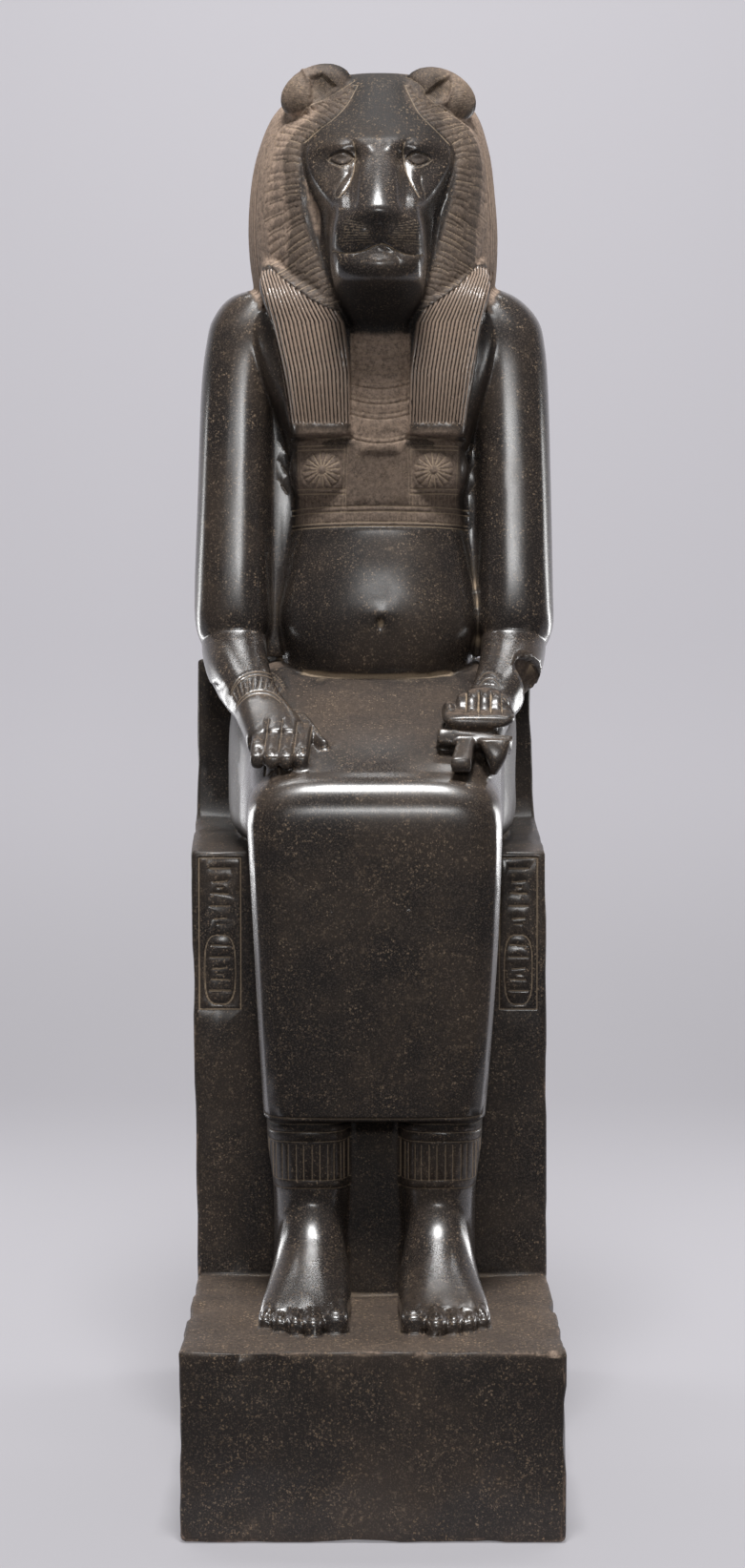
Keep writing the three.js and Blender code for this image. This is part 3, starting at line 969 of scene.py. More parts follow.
LEG: tuple[Station, ...] = (
    (-94, -70, -20, 58, 90, 60, 3),
    (-92, -72, 70, 55, 92, 60, 3),
    (-90, -75, 160, 58, 99, 70, 3),
    (-94, -72, 225, 62, 112, 76, 3),
    (-95, -70, 285, 63, 122, 80, 3),
)
FOOT: tuple[Station, ...] = (
    (-90, -60, 40, 50, 60, 60, 2.4),
    (-90, -120, 40, 52, 110, 60, 2.1),
    (-90, -155, 40, 52, 130, 60, 2.0),
    (-90, -170, 38, 54, 114, 58, 2.0),
    (-90, -182, 35, 57, 94, 52, 2.0),
    (-90, -198, 31, 59, 77, 48, 2.1),
    (-91, -218, 26, 60, 65, 45, 2.2),
    (-93, -250, 19, 62, 50, 38, 2.4),
    (-97, -290, 12, 63, 34, 32, 2.8),
    (-99, -325, 8, 60, 21, 28, 3),
)
TOES: tuple[Station, ...] = (
    (-52, -330, 20, 38),
    (-83, -344, 15, 32),
    (-108, -334, 13, 30),
    (-130, -318, 12, 27),
    (-151, -298, 11, 23),
)


@dataclass(frozen=True)
class FootSide:
    """One leg: which side it is on and how far it is shifted."""

    way: int
    shift: float = 0.0

    def x(self, value: float) -> float:
        """Places a left-hand measure on this side."""
        return value if self.way < 0 else -value + self.shift

    def rows(self, stations: Sequence[Station]) -> tuple[Station, ...]:
        """Places left-hand stations on this side."""
        return tuple((self.x(row[0]), *row[1:]) for row in stations)


@dataclass(frozen=True)
class Feet:
    """The shins below the hem, the feet with their toes, and the anklets."""

    sides: tuple[FootSide, ...] = (FootSide(-1), FootSide(1, 6))
    leg: tuple[Station, ...] = LEG
    foot: tuple[Station, ...] = FOOT
    toes: tuple[Station, ...] = TOES

    def mass(self, clay: Clay) -> None:
        """Adds the legs, the feet, the toes and the stone left between the legs.

        Args:
            clay: The heap that takes the shapes.
        """
        clay.block(3, -48, 135, 240, 156, 280)
        for side in self.sides:
            clay.loft(side.rows(self.leg), Lift.FRONT, 48, 24)
            clay.loft(side.rows(self.foot), Lift.UP, 48, 24)
            for x, y, wide, tall in self.toes:
                row = (
                    (side.x(x * 0.985), y + 52, tall * 0.55, wide * 0.86, tall * 0.42, tall * 0.6, 2.4),
                    (side.x(x), y + 14, tall * 0.46, wide * 0.92, tall * 0.46, tall * 0.6, 2.4),
                    (side.x(x), y - 12, tall * 0.42, wide * 0.98, tall * 0.5, tall * 0.6, 2.5),
                    (side.x(x), y - 30, tall * 0.38, wide * 0.9, tall * 0.44, tall * 0.5, 2.4),
                    (side.x(x), y - 40, tall * 0.34, wide * 0.6, tall * 0.26, tall * 0.34, 2.2),
                )
                clay.loft(row, Lift.UP, 24, 16)

    def carve(self, skin: Surface) -> None:
        """Carves the anklets and the nails.

        Args:
            skin: The statue's joined skin.
        """
        for side in self.sides:
            front: list[Stroke] = []
            for z, depth in ((262, 1.6), (250, 1.6), (236, 1.2), (178, 1.2), (165, 1.6)):
                line = [(side.x(x), z + 3 * (1 - ((x + 94) / 62) ** 2)) for x in spread(-156, -32, 13)]
                front.append(Stroke(tuple(line), 1.5, depth, 0.6))
            for i in range(7):
                share = (i + 0.5) / 7
                x = -94 - 60 * math.cos(math.pi * (0.06 + 0.88 * share))
                wide = 6.2 * math.sin(math.pi * (0.12 + 0.76 * share))
                for edge in (x - wide, x + wide):
                    front.append(Stroke(((side.x(edge), 180), (side.x(edge), 234)), 1.2, 1.4, 0.75))
            skin.incise(front, Facing.FRONT, (-230, -20), 0.02)
            band = [(side.x(x), z) for x, z in ((-160, 166), (-30, 166), (-30, 262), (-160, 262))]
            skin.step([Patch(tuple(band), 0.7, 2)], Facing.FRONT, (-230, -20))
            skin.dull(band, 0.3, Facing.FRONT, (-230, -20))
            nails: list[Stroke] = []
            for x, y, wide, _ in self.toes:
                nails.append(Stroke(oval(side.x(x), y - 22, wide * 0.62, 12, 3, 20), 1.2, 1.0, 0.35))
            skin.incise(nails, Facing.TOP, (4, 60))


TORSO: tuple[Station, ...] = (
    (8, 180, 620, 150, 80, 115, 3),
    (8, 180, 880, 146, 100, 118, 3),
    (8, 180, 930, 146, 120, 120, 3),
    (9, 180, 1000, 156, 134, 118, 3),
    (9, 180, 1070, 145, 128, 110, 3),
    (10, 180, 1140, 134, 115, 105, 3),
    (10, 180, 1200, 133, 120, 112, 3),
    (9, 180, 1290, 150, 130, 122, 3),
    (5, 185, 1380, 185, 130, 120, 3),
    (2, 190, 1450, 196, 115, 105, 3),
    (2, 195, 1495, 165, 85, 85, 2.6),
    (5, 200, 1520, 110, 60, 60, 2.4),
)


@dataclass(frozen=True)
class Body:
    """The trunk from the seat to the shoulders, with the dress's bodice: straps, rosettes and belt."""

    torso: tuple[Station, ...] = TORSO

    def mass(self, clay: Clay) -> None:
        """Adds the trunk, the breasts and the stone left between the arms and the trunk.

        Args:
            clay: The heap that takes the shapes.
        """
        clay.loft(self.torso, Lift.FRONT, 72, 72)
        for x in (-70, 90):
            clay.ball(x, 106, 1226, 58, 54, 62)
        for x in (-160, 166):
            clay.block(x, 190, 1180, 120, 90, 480)

    def carve(self, skin: Surface) -> None:
        """Carves the straps, the rosettes and the belt.

        Args:
            skin: The statue's joined skin.
        """
        work: list[Stroke] = []
        for side, x in ((-1, -77.0), (1, 93.0)):
            outer, inner = x + side * 38, x - side * 35
            for z, depth in ((1261, 1.2), (1255, 1.2), (1195, 1.2), (1188, 1.2)):
                work.append(Stroke(((outer, z), (inner, z)), 1.3, depth, 0.75))
            for edge in (outer, inner, inner - side * 5):
                work.append(Stroke(((edge, 1262), (edge + 0.1 * (x - edge), 1172)), 1.2, 0.9, 0.5))
            for i in range(13):
                at = inner + (outer - inner) * (i + 0.5) / 13
                work.append(Stroke(((at, 1186), (at, 1173)), 1.1, 0.8, 0.5))
            for i in range(16):
                angle = 2 * math.pi * i / 16 + 0.1
                c, s = math.cos(angle), math.sin(angle)
                work.append(Stroke(((x + 7 * c, 1224 + 7 * s), (x + 29 * c, 1224 + 27 * s)), 1.1, 1.3, 0.85))
            work.append(Stroke(oval(x, 1224, 6, 6), 1.1, 0.9, 0.3))
            work.append(Stroke(oval(x, 1224, 31, 29), 1.4, 0.9, 0.25))
        for low, bend in ((1170, 0), (1162, 0), (1146, 0), (1140, 0)):
            line = [(x, low + bend - 4 * (abs(x - 12) / 130) ** 2) for x in spread(-124, 148, 15)]
            work.append(Stroke(tuple(line), 1.4, 1.4, 0.75))
        for i in range(66):
            x = -120 + 264 * (i + 0.5) / 66
            if (i // 6) % 3 != 2:
                drop = 4 * (abs(x - 12) / 130) ** 2
                work.append(Stroke(((x, 1160 - drop), (x, 1148 - drop)), 1.0, 0.8, 0.4))
        for side, x in ((-1, -138), (1, 156)):
            for k in range(3):
                z = 1262 - 30 * k
                work.append(Stroke(((x + side * 8, z + 12), (x - side * 6, z - 10)), 1.6, 0.8, 0.4))
        skin.incise(work, Facing.FRONT, (20, 170))
        skin.swell([Mound(12, 1008, 26, 16, 3.0), Mound(12, 992, 6, 8, -6.0)], Facing.FRONT, (20, 120))
        bodice = ((-118, 1290), (-118, 1170), (-126, 1138), (148, 1138), (136, 1170), (136, 1290))
        skin.dull(bodice, 0.62, Facing.FRONT, (20, 160), 10)


LEFT_ARM: tuple[Station, ...] = (
    (-218, 178, 931, 28, 38, 34, 2.4),
    (-216, 174, 946, 44, 60, 52, 2.6),
    (-216, 172, 985, 59, 78, 64, 3),
    (-217, 174, 1050, 60, 82, 70, 3),
    (-214, 182, 1200, 58, 78, 74, 3),
    (-209, 190, 1350, 58, 78, 78, 2.8),
    (-199, 194, 1425, 60, 76, 76, 2.6),
    (-186, 196, 1466, 62, 68, 68, 2.4),
    (-160, 198, 1500, 58, 54, 54, 2.2),
    (-125, 200, 1516, 32, 30, 30, 2),
)
RIGHT_ARM: tuple[Station, ...] = (
    (222, 178, 931, 28, 38, 34, 2.4),
    (221, 174, 946, 44, 60, 52, 2.6),
    (221, 172, 985, 60, 78, 64, 3),
    (221, 174, 1050, 60, 82, 70, 3),
    (219, 182, 1200, 59, 78, 74, 3),
    (214, 190, 1350, 60, 78, 78, 2.8),
    (206, 194, 1425, 62, 76, 76, 2.6),
    (191, 196, 1466, 65, 68, 68, 2.4),
    (160, 198, 1501, 60, 54, 54, 2.2),
    (130, 200, 1520, 32, 30, 30, 2),
)
FOREARM: tuple[Station, ...] = (
    (-217, 200, 985, 50, 40, 48, 2.6),
    (-214, 130, 955, 50, 44, 50, 2.6),
    (-204, 60, 922, 46, 38, 44, 2.6),
    (-186, 0, 890, 40, 31, 38, 2.6),
    (-172, -30, 872, 38, 27, 36, 2.6),
    (-152, -75, 846, 43, 20, 34, 2.8),
    (-139, -120, 820, 44, 18, 30, 3),
)
FINGERS: tuple[Point, ...] = ((-167.5, -169), (-146.5, -178), (-125, -180), (-103.5, -173))
GRIP: tuple[Point, ...] = ((131, 6.5), (147, 9.2), (165.5, 9.6), (183, 9), (198, 7.6))


@dataclass(frozen=True)
class Arms:
    """The arms, the open hand, the fist with the looped cross, the bracelets and the broken elbow."""

    left: tuple[Station, ...] = LEFT_ARM
    right: tuple[Station, ...] = RIGHT_ARM
    forearm: tuple[Station, ...] = FOREARM
    fingers: tuple[Point, ...] = FINGERS
    grip: tuple[Point, ...] = GRIP

    def mass(self, clay: Clay) -> None:
        """Adds both arms and both hands.

        Args:
            clay: The heap that takes the shapes.
        """
        clay.loft(self.left, Lift.FRONT, 56, 64)
        clay.loft(self.right, Lift.FRONT, 56, 64)
        clay.loft(self.forearm, Lift.UP, 56, 56)
        clay.loft(flipped(self.forearm, 4), Lift.UP, 56, 56)
        self._open_hand(clay)
        self._fist(clay)
        self._cross(clay)

    def _open_hand(self, clay: Clay) -> None:
        """Adds the four fingers and the thumb of the flat hand.

        Args:
            clay: The heap that takes the shapes.
        """
        for x, tip in self.fingers:
            row = (
                (x + 5, -88, 838, 10.4, 8, 16, 3.2),
                (x + 3, -118, 825, 10.8, 9, 16, 3.4),
                (x + 1, -146, 812, 10.8, 9, 18, 3.4),
                (x, tip + 12, 802, 10.6, 8.5, 18, 3.2),
                (x, tip + 3, 797, 9.8, 8, 15, 3),
                (x, tip - 1, 794, 7.5, 5.5, 10, 2.4),
            )
            clay.loft(row, Lift.UP, 32, 28)
        thumb = (
            (-112, -60, 852, 13, 12, 20, 2.6),
            (-94, -88, 836, 10, 11, 20, 2.6),
            (-80, -112, 822, 8, 9, 16, 2.6),
            (-72, -126, 816, 7.5, 7.5, 12, 2.4),
            (-69, -131, 813, 5, 4, 8, 2.2),
        )
        clay.loft(thumb, Lift.UP, 28, 24)

    def _fist(self, clay: Clay) -> None:
        """Adds the palm, the thumb and the curled fingers of the closed hand.

        Args:
            clay: The heap that takes the shapes.
        """
        clay.ball(164, -50, 868, 43, 42, 29)
        clay.ball(113, -74, 862, 11, 26, 15)
        for x, wide in self.grip:
            off = (x - 162) / 42
            y, top = -74 + 8 * off * off, 884 - 12 * off * off
            row = (
                (x, y + 26, top - 4, wide, 10, 16, 2.6),
                (x, y + 6, top, wide, 10, 18, 2.6),
                (x, y - 12, top - 7, wide, 10, 20, 2.6),
                (x, y - 21, top - 18, wide, 10, 14, 2.6),
                (x, y - 25, top - 26, wide * 0.8, 8, 8, 2.4),
            )
            clay.loft(row, Lift.UP, 28, 24)

    def _cross(self, clay: Clay) -> None:
        """Adds the looped cross that the fist holds: loop, bar, stem and the stone under them.

        Args:
            clay: The heap that takes the shapes.
        """
        loop = (
            (156, -50, 866, 50, 7, 9, 3),
            (156, -90, 859, 54, 8, 10, 3.4),
            (156, -116, 853, 52, 7, 12, 3.4),
            (156, -126, 850, 44, 4, 12, 3),
        )
        clay.loft(loop, Lift.UP, 48, 20)
        clay.block(149, -134, 820, 110, 26, 23, 0.04, -0.3, 0.11, 2.5)
        stem = (
            (138, -132, 824, 13, 9, 18, 6), (133, -165, 808, 13.5, 9, 18, 6), (127, -202, 790, 14.5, 9, 12, 6)
        )
        clay.loft(stem, Lift.UP, 32, 16)
        wedge = (
            (177, -148, 772, 4, 10, 30, 2.6), (180, -148, 796, 15, 14, 30, 3), (177, -148, 824, 25, 8, 30, 4)
        )
        clay.loft(wedge, Lift.FRONT, 28, 16)

    def carve(self, skin: Surface) -> None:
        """Carves the fingers' lines, the nails, the bracelets and the break at the elbow.

        Args:
            skin: The statue's joined skin.
        """
        lines: list[Stroke] = []
        for gap, tip in ((-157, -164), (-136, -170), (-114, -170), (-92.5, -162)):
            lines.append(Stroke(((gap + 4, -96), (gap + 2, -130), (gap, tip)), 1.2, 1.7, 0.5))
        for x, tip in self.fingers:
            lines.append(Stroke(oval(x, tip + 8, 6, 7, 2.6, 20), 0.9, 0.6, 0.15))
        skin.incise(lines, Facing.TOP, (770, 860), 0.02)
        fist: list[Stroke] = []
        for (x, wide), (after, beside) in zip(self.grip[:-1], self.grip[1:]):
            gap = x + wide * (after - x) / (wide + beside)
            fist.append(Stroke(((gap + 1, 892), (gap, 872), (gap - 1, 850)), 1.3, 2.2, 0.3))
        knuckles = ((120, 880), (132, 892), (154, 899), (175, 897), (196, 881), (206, 862))
        fist.append(Stroke(curve(knuckles), 1.5, 1.6, 0.2))
        skin.incise(fist, Facing.FRONT, (-116, -55), 0.02)
        self._bracelets(skin)
        skin.split((230, 40, 896), 44, (0.55, -0.8, 0.1), -14)
        skin.split((226, 40, 872), 40, (0.75, -0.45, -0.45), -12)
        skin.turn_normals()

    def _bracelets(self, skin: Surface) -> None:
        """Carves rings and bars round both wrists.

        Args:
            skin: The statue's joined skin.
        """
        top = ((-213, 890), (-204, 906), (-190, 916), (-173, 920), (-156, 917), (-143, 908), (-134, 896))
        low = ((-204, 868), (-198, 879), (-188, 887), (-175, 892), (-160, 892), (-147, 888), (-136, 880))
        arcs: list[Stroke] = []
        for line in (top, low):
            for gap in (0, -5):
                arcs.append(Stroke(curve([(x, z + gap) for x, z in line], 20), 1.1, 1.0, 0.5))
        for u in spread(0.08, 0.92, 10):
            (x, z), (end_x, end_z) = between(low, u).tolist(), between(top, u).tolist()
            arcs.append(Stroke(((x, z + 3), (end_x, end_z - 8)), 1.0, 0.9, 0.5))
        skin.incise(arcs, Facing.FRONT, (-80, 110), 0.02)
        right = ((160, 908), (167, 916), (175, 919), (183, 917), (190, 909))
        arcs = [Stroke(curve([(x, z + gap) for x, z in right], 12), 1.1, 0.9, 0.45) for gap in (0, -9)]
        arcs.append(Stroke(((152, 899), (170, 901), (192, 899)), 1.0, 0.8, 0.3))
        skin.incise(arcs, Facing.FRONT, (-80, 110), 0.02)


WIG: tuple[Station, ...] = (
    (2, 250, 1262, 120, 40, 62, 2.6),
    (2, 240, 1320, 140, 60, 84, 2.6),
    (3, 220, 1420, 164, 124, 112, 2.6),
    (3, 210, 1500, 186, 142, 128, 2.6),
    (1, 205, 1580, 194, 148, 138, 2.6),
    (0, 205, 1660, 190, 148, 138, 2.6),
    (2, 205, 1725, 179, 138, 130, 2.5),
    (5, 203, 1784, 154, 116, 106, 2.4),
    (8, 201, 1818, 104, 84, 78, 2.3),
    (10, 197, 1837, 44, 42, 40, 2.2),
)
# Rows of the face from chin to crown: centre x, height, then pairs of distance from the middle line and y.
FACE: tuple[Station, ...] = (
    (12, 1436, 0, 42, 14, 43, 28, 47, 38, 56, 44, 70, 50, 82, 58, 86, 70, 86, 84, 92, 98, 106, 108, 130),
    (12, 1452, 0, 22, 16, 23, 32, 28, 43, 40, 49, 58, 56, 68, 66, 66, 78, 64, 92, 72, 108, 92, 118, 128),
    (12, 1470, 0, -6, 18, -5, 36, 2, 49, 18, 56, 40, 62, 56, 70, 56, 82, 54, 98, 64, 116, 88, 128, 125),
    (11, 1488, 0, -32, 20, -31, 40, -22, 54, -4, 62, 22, 67, 46, 74, 50, 86, 50, 104, 60, 124, 84, 138, 122),
    (10, 1504, 0, -50, 20, -48, 42, -42, 59, -29, 68, 4, 70, 42, 77, 50, 90, 49, 110, 58, 132, 80, 146, 120),
    (9, 1522, 0, -56, 20, -54, 43, -50, 62, -38, 71, 0, 72, 38, 80, 51, 94, 50, 116, 58, 138, 78, 154, 118),
    (9, 1540, 0, -50, 20, -52, 44, -50, 63, -38, 72, -2, 73, 36, 82, 52, 97, 51, 120, 60, 142, 80, 158, 116),
    (8, 1558, 0, -54, 18, -60, 44, -55, 64, -42, 72, -4, 74, 34, 84, 53, 100, 53, 124, 62, 146, 82, 162, 115),
    (8, 1578, 0, -62, 20, -64, 43, -58, 62, -45, 71, -8, 74, 32, 86, 54, 103, 54, 127, 63, 149, 84, 164, 115),
    (8, 1594, 0, -71, 25, -67, 40, -56, 60, -38, 69, -4, 74, 32, 88, 55, 106, 55, 129, 64, 151, 86, 166, 115),
    (8, 1606, 0, -70, 25, -63, 38, -46, 58, -33, 68, -4, 75, 32, 90, 56, 109, 55, 131, 64, 153, 86, 166, 115),
    (8, 1622, 0, -60, 26, -50, 38, -26, 56, -16, 73, 4, 81, 34, 94, 56, 112, 56, 132, 64, 153, 86, 165, 124),
    (8, 1640, 0, -47, 26, -36, 38, -10, 58, 0, 84, 18, 92, 40, 101, 56, 115, 56, 133, 64, 154, 86, 165, 124),
    (8, 1662, 0, -29, 25, -18, 37, 6, 60, 14, 95, 31, 102, 48, 109, 60, 118, 58, 134, 66, 154, 87, 165, 124),
    (9, 1686, 0, -8, 24, 2, 35, 22, 62, 26, 103, 44, 110, 57, 116, 64, 122, 62, 136, 69, 153, 90, 164, 126),
    (9, 1704, 0, 9, 25, 13, 38, 21, 64, 24, 101, 46, 110, 59, 117, 66, 124, 66, 137, 73, 152, 94, 161, 130),
    (10, 1722, 0, 22, 24, 22, 42, 24, 66, 32, 92, 50, 104, 60, 112, 66, 121, 70, 134, 79, 147, 98, 156, 132),
    (10, 1745, 0, 35, 22, 36, 42, 40, 64, 48, 80, 56, 92, 63, 103, 69, 114, 77, 126, 88, 137, 103, 146, 124),
    (11, 1768, 0, 48, 20, 49, 38, 54, 54, 62, 66, 68, 78, 74, 89, 81, 100, 90, 110, 100, 119, 112, 126, 128),
    (11, 1792, 0, 64, 16, 65, 32, 70, 46, 77, 58, 83, 68, 89, 78, 96, 88, 104, 96, 112, 103, 121, 108, 134),
    (11, 1814, 0, 82, 14, 83, 28, 88, 40, 94, 50, 100, 60, 106, 68, 112, 76, 119, 82, 126, 87, 133, 90, 142),
    (
        11, 1830, 0, 116, 10, 117, 20, 119, 30, 122, 38, 126, 45, 130, 51, 134, 56, 138, 60, 142, 63, 146, 65,
        150,
    ),
    (
        11, 1836, 0, 148, 8, 148, 16, 149, 22, 150, 28, 151, 33, 152, 37, 153, 40, 154, 43, 155, 45, 156, 46,
        157,
    ),
)
LEFT_LAPPET: tuple[Station, ...] = (
    (-76, 80, 1275, 45, 40, 20, 5),
    (-79, 78, 1330, 48, 45, 20, 5),
    (-84, 78, 1380, 52, 46, 20, 5),
    (-94, 84, 1440, 57, 46, 24, 4),
    (-112, 100, 1500, 60, 46, 30, 3.4),
    (-120, 142, 1562, 46, 30, 30, 3),
)
RIGHT_LAPPET: tuple[Station, ...] = (
    (96, 80, 1275, 44, 40, 20, 5),
    (99, 78, 1330, 48, 45, 20, 5),
    (104, 78, 1380, 52, 46, 20, 5),
    (110, 84, 1440, 55, 46, 24, 4),
    (122, 100, 1500, 58, 46, 30, 3.4),
    (126, 142, 1562, 46, 30, 30, 3),
)

MANE_INNER = {
    -1: (
        (-22, 1807), (-38, 1775), (-58, 1752), (-80, 1736), (-103, 1717), (-107, 1690), (-108, 1662),
        (-106, 1636), (-102, 1611), (-96, 1586), (-85, 1558), (-74, 1533), (-62, 1506), (-49, 1478),
        (-38, 1456),
    ),
    1: (
        (49, 1807), (60, 1780), (71, 1759), (88, 1741), (115, 1715), (124, 1695), (124, 1668), (119, 1641),
        (111, 1613), (104, 1586), (96, 1558), (88, 1531), (81, 1506), (73, 1478), (63, 1456),
    ),
}
MANE_OUTER = {
    -1: (
        (-35, 1808), (-50, 1789), (-72, 1785), (-94, 1779), (-115, 1761), (-139, 1749), (-150, 1732),
        (-158, 1710), (-164, 1685), (-167, 1658), (-168, 1630), (-168, 1603), (-165, 1575), (-160, 1548),
        (-152, 1530), (-136, 1513), (-113, 1495), (-94, 1480), (-74, 1470), (-49, 1461),
    ),
    1: (
        (58, 1809), (66, 1788), (89, 1783), (111, 1774), (127, 1760), (142, 1752), (156, 1742), (167, 1721),
        (172, 1699), (177, 1672), (178, 1645), (178, 1617), (175, 1590), (171, 1573), (165, 1551),
        (158, 1534), (144, 1517), (130, 1501), (111, 1487), (91, 1473), (74, 1464),
    ),
}


@dataclass(frozen=True)
class HeadAndWig:
    """The lioness head, the mane that frames it, the ears and the wig with its two lappets."""

    wig: tuple[Station, ...] = WIG
    face: tuple[Station, ...] = FACE
    lappets: tuple[tuple[Station, ...], ...] = (LEFT_LAPPET, RIGHT_LAPPET)

    def mass(self, clay: Clay) -> None:
        """Adds the head, the wig, the mane's shield, the ears and the lappets.

        Args:
            clay: The heap that takes the shapes.
        """
        clay.loft(self.wig, Lift.FRONT, 72, 64)
        clay.mask(self.face)
        for lappet in self.lappets:
            clay.loft(lappet, Lift.FRONT, 56, 40)
        for side, x, z in ((-1, -85, 1799), (1, 103, 1794)):
            clay.ball(x, 108, z + 1, 58, 24, 40, 0.42 * side)
            clay.ball(x - side * 30, 120, z + 12, 34, 22, 24, -0.3 * side)

    def carve(self, skin: Surface) -> None:
        """Carves the face, the ears, the mane and the strands.

        Args:
            skin: The statue's joined skin.
        """
        self._face(skin)
        self._ears(skin)
        self._mane(skin)
        self._strands(skin)

    def _face(self, skin: Surface) -> None:
        """Shapes the brows, the eyes, the muzzle and the mouth.

        Args:
            skin: The statue's joined skin.
        """
        front = (-90.0, 70.0)
        skin.swell(
            [
                Mound(-7, 1704, 11, 9, 3.5),
                Mound(27, 1704, 11, 9, 3.5),
                Mound(10, 1712, 6, 20, -1.5),
                Mound(-46, 1706, 24, 6, 2.2),
                Mound(68, 1706, 24, 6, 2.2),
                Mound(-46, 1686, 24, 11, -2.5),
                Mound(68, 1686, 24, 11, -2.5),
                Mound(-58, 1655, 14, 18, -1.5),
                Mound(76, 1655, 14, 18, -1.5),
            ],
            Facing.FRONT,
            front,
        )
        eyes = {
            -1: ((-66, 1687), (-58, 1693.5), (-46, 1696), (-36, 1694), (-28, 1687)),
            1: ((51, 1687), (59, 1694), (69, 1696), (79, 1693.5), (88, 1687)),
        }
        lids = {
            -1: ((-28, 1687), (-36, 1679.5), (-47, 1677), (-58, 1681), (-66, 1687)),
            1: ((88, 1687), (79, 1681), (69, 1677), (59, 1679.5), (51, 1687)),
        }
        marks: list[Stroke] = []
        for side in (-1, 1):
            almond = (*curve(eyes[side], 16), *curve(lids[side], 16))
            skin.step([Patch(almond, 3.0, 2.0)], Facing.FRONT, front)
            marks.append(Stroke(almond, 1.1, 1.6, 0.5))
            skin.dull(almond, 0.36, Facing.FRONT, front)
            centre = (-47, 1686) if side < 0 else (70, 1686)
            rim = [(centre[0] + 1.2 * (x - centre[0]), centre[1] + 1.42 * (z - centre[1])) for x, z in almond]
            marks.append(Stroke(tuple(rim[len(rim) // 2 :]), 1.2, 0.9, 0.5))
            skin.incise([Stroke(tuple(rim), 2.4, -1.6, 0)], Facing.FRONT, front)
        tears = (
            ((-29, 1712), (-26, 1696), (-27, 1679), (-30, 1660), (-38, 1641), (-51, 1625)),
            ((49, 1712), (46, 1699), (48, 1679), (53, 1659), (62, 1640), (70, 1626)),
        )
        folds = (
            ((-36, 1664), (-48, 1648), (-56, 1634), (-54, 1624)),
            ((72, 1662), (73, 1648), (78, 1634), (80, 1622)),
        )
        marks += [Stroke(curve(line), 1.4, 1.3, 0.55) for line in tears]
        marks += [Stroke(curve(line), 1.3, 0.9, 0.35) for line in folds]
        mouth = (
            (-61, 1544), (-48, 1539), (-37, 1537.5), (-23, 1538.5), (-9, 1542), (2, 1547), (13.5, 1550.5),
            (26, 1546), (37, 1540.5), (50, 1536), (64, 1535), (76, 1538),
        )
        marks.append(Stroke(curve(mouth, 40), 1.2, 2.4, 0.8))
        marks.append(Stroke(((11, 1578), (13, 1562), (13, 1550)), 2.0, 1.6, 0.0))
        marks.append(Stroke(((12.5, 1554), (13.5, 1552)), 2.6, 2.0, 0.0))
        marks.append(Stroke(((36, 1532), (40, 1524), (38, 1514)), 0.9, 0.5, 0.4))
        for side in (-1, 1):
            for k in range(9):
                outer, inner = (50 + 14 * (k / 8) ** 0.5, 1587 - 4.6 * k), (25 - 1.9 * k, 1579 - 3.3 * k)
                line = [
                    (
                        12.5 + side * (outer[0] + (inner[0] - outer[0]) * u),
                        outer[1] + (inner[1] - outer[1]) * u**0.7,
                    )
                    for u in spread(0, 1, 8)
                ]
                marks.append(Stroke(tuple(line), 0.9, 0.5, 0.5))
        skin.incise(marks, Facing.FRONT, front, 0.05)
        for x in (-57, 71):
            skin.dull(oval(x, 1548, 8, 16), 0.3, Facing.FRONT, front, 6)
        lips = [Mound(8, 1530, 26, 13, 1.2), Mound(-42, 1520, 14, 16, 1.0), Mound(58, 1522, 14, 16, 1.0)]
        skin.swell(lips, Facing.FRONT, front)

    def _ears(self, skin: Surface) -> None:
        """Shapes the ears: a domed outer lobe with fine lines, a hatched hollow and a rim below.

        Args:
            skin: The statue's joined skin.
        """
        lobes = {
            -1: (
                (-133, 1759), (-141, 1779), (-141, 1796), (-133, 1811), (-122, 1823), (-106, 1832),
                (-99, 1818), (-97, 1806), (-96, 1793), (-97, 1780), (-112, 1764),
            ),
            1: (
                (127, 1826), (141, 1820), (152, 1802), (154, 1787), (158, 1776), (150, 1762), (130, 1760),
                (118, 1768), (112, 1780), (119, 1793), (122, 1808),
            ),
        }
        hollows = {
            -1: ((-97, 1819), (-76, 1824), (-55, 1805), (-70, 1790), (-91, 1780), (-94, 1794), (-95, 1808)),
            1: ((80, 1793), (98, 1809), (119, 1822), (121, 1809), (116, 1794), (107, 1784), (96, 1784)),
        }
        rims = {
            -1: (
                (-132, 1754), (-114, 1758), (-102, 1767), (-93, 1778), (-73, 1786), (-54, 1797), (-36, 1809),
                (-26, 1816),
            ),
            1: ((52, 1822), (63, 1815), (76, 1804), (82, 1791), (101, 1774), (118, 1764), (133, 1757)),
        }
        depth = (45.0, 150.0)
        for side in (-1, 1):
            skin.step([Patch(hollows[side], -4.5, 4.0)], Facing.FRONT, depth)
            centre = np.mean(hollows[side], axis=0)
            skin.swell([Mound(centre[0], centre[1], 16, 14, -5)], Facing.FRONT, depth)
            middle = np.mean(lobes[side], axis=0)
            skin.swell([Mound(middle[0], middle[1], 15, 24, 3.5)], Facing.FRONT, depth)
            lines: list[Stroke] = [Stroke(curve(rims[side], 24), 1.1, 0.9, 0.6)]
            for k in range(26):
                z = 1763 + 62 * k / 25
                reach = 1 - abs((z - 1793) / 44) ** 3
                near, far = (-99, -103 - 36 * reach) if side < 0 else (121, 125 + 30 * reach)
                lines.append(
                    Stroke(((near, z + 1), ((near + far) / 2, z - 1), (far, z - 4)), 0.8, 0.35, 0.45)
                )
            start, end = ((-90, 1788), (-66, 1816)) if side < 0 else ((85, 1790), (115, 1816))
            for k in range(17):
                x, z = start[0] + (end[0] - start[0]) * k / 16, start[1] + (end[1] - start[1]) * k / 16
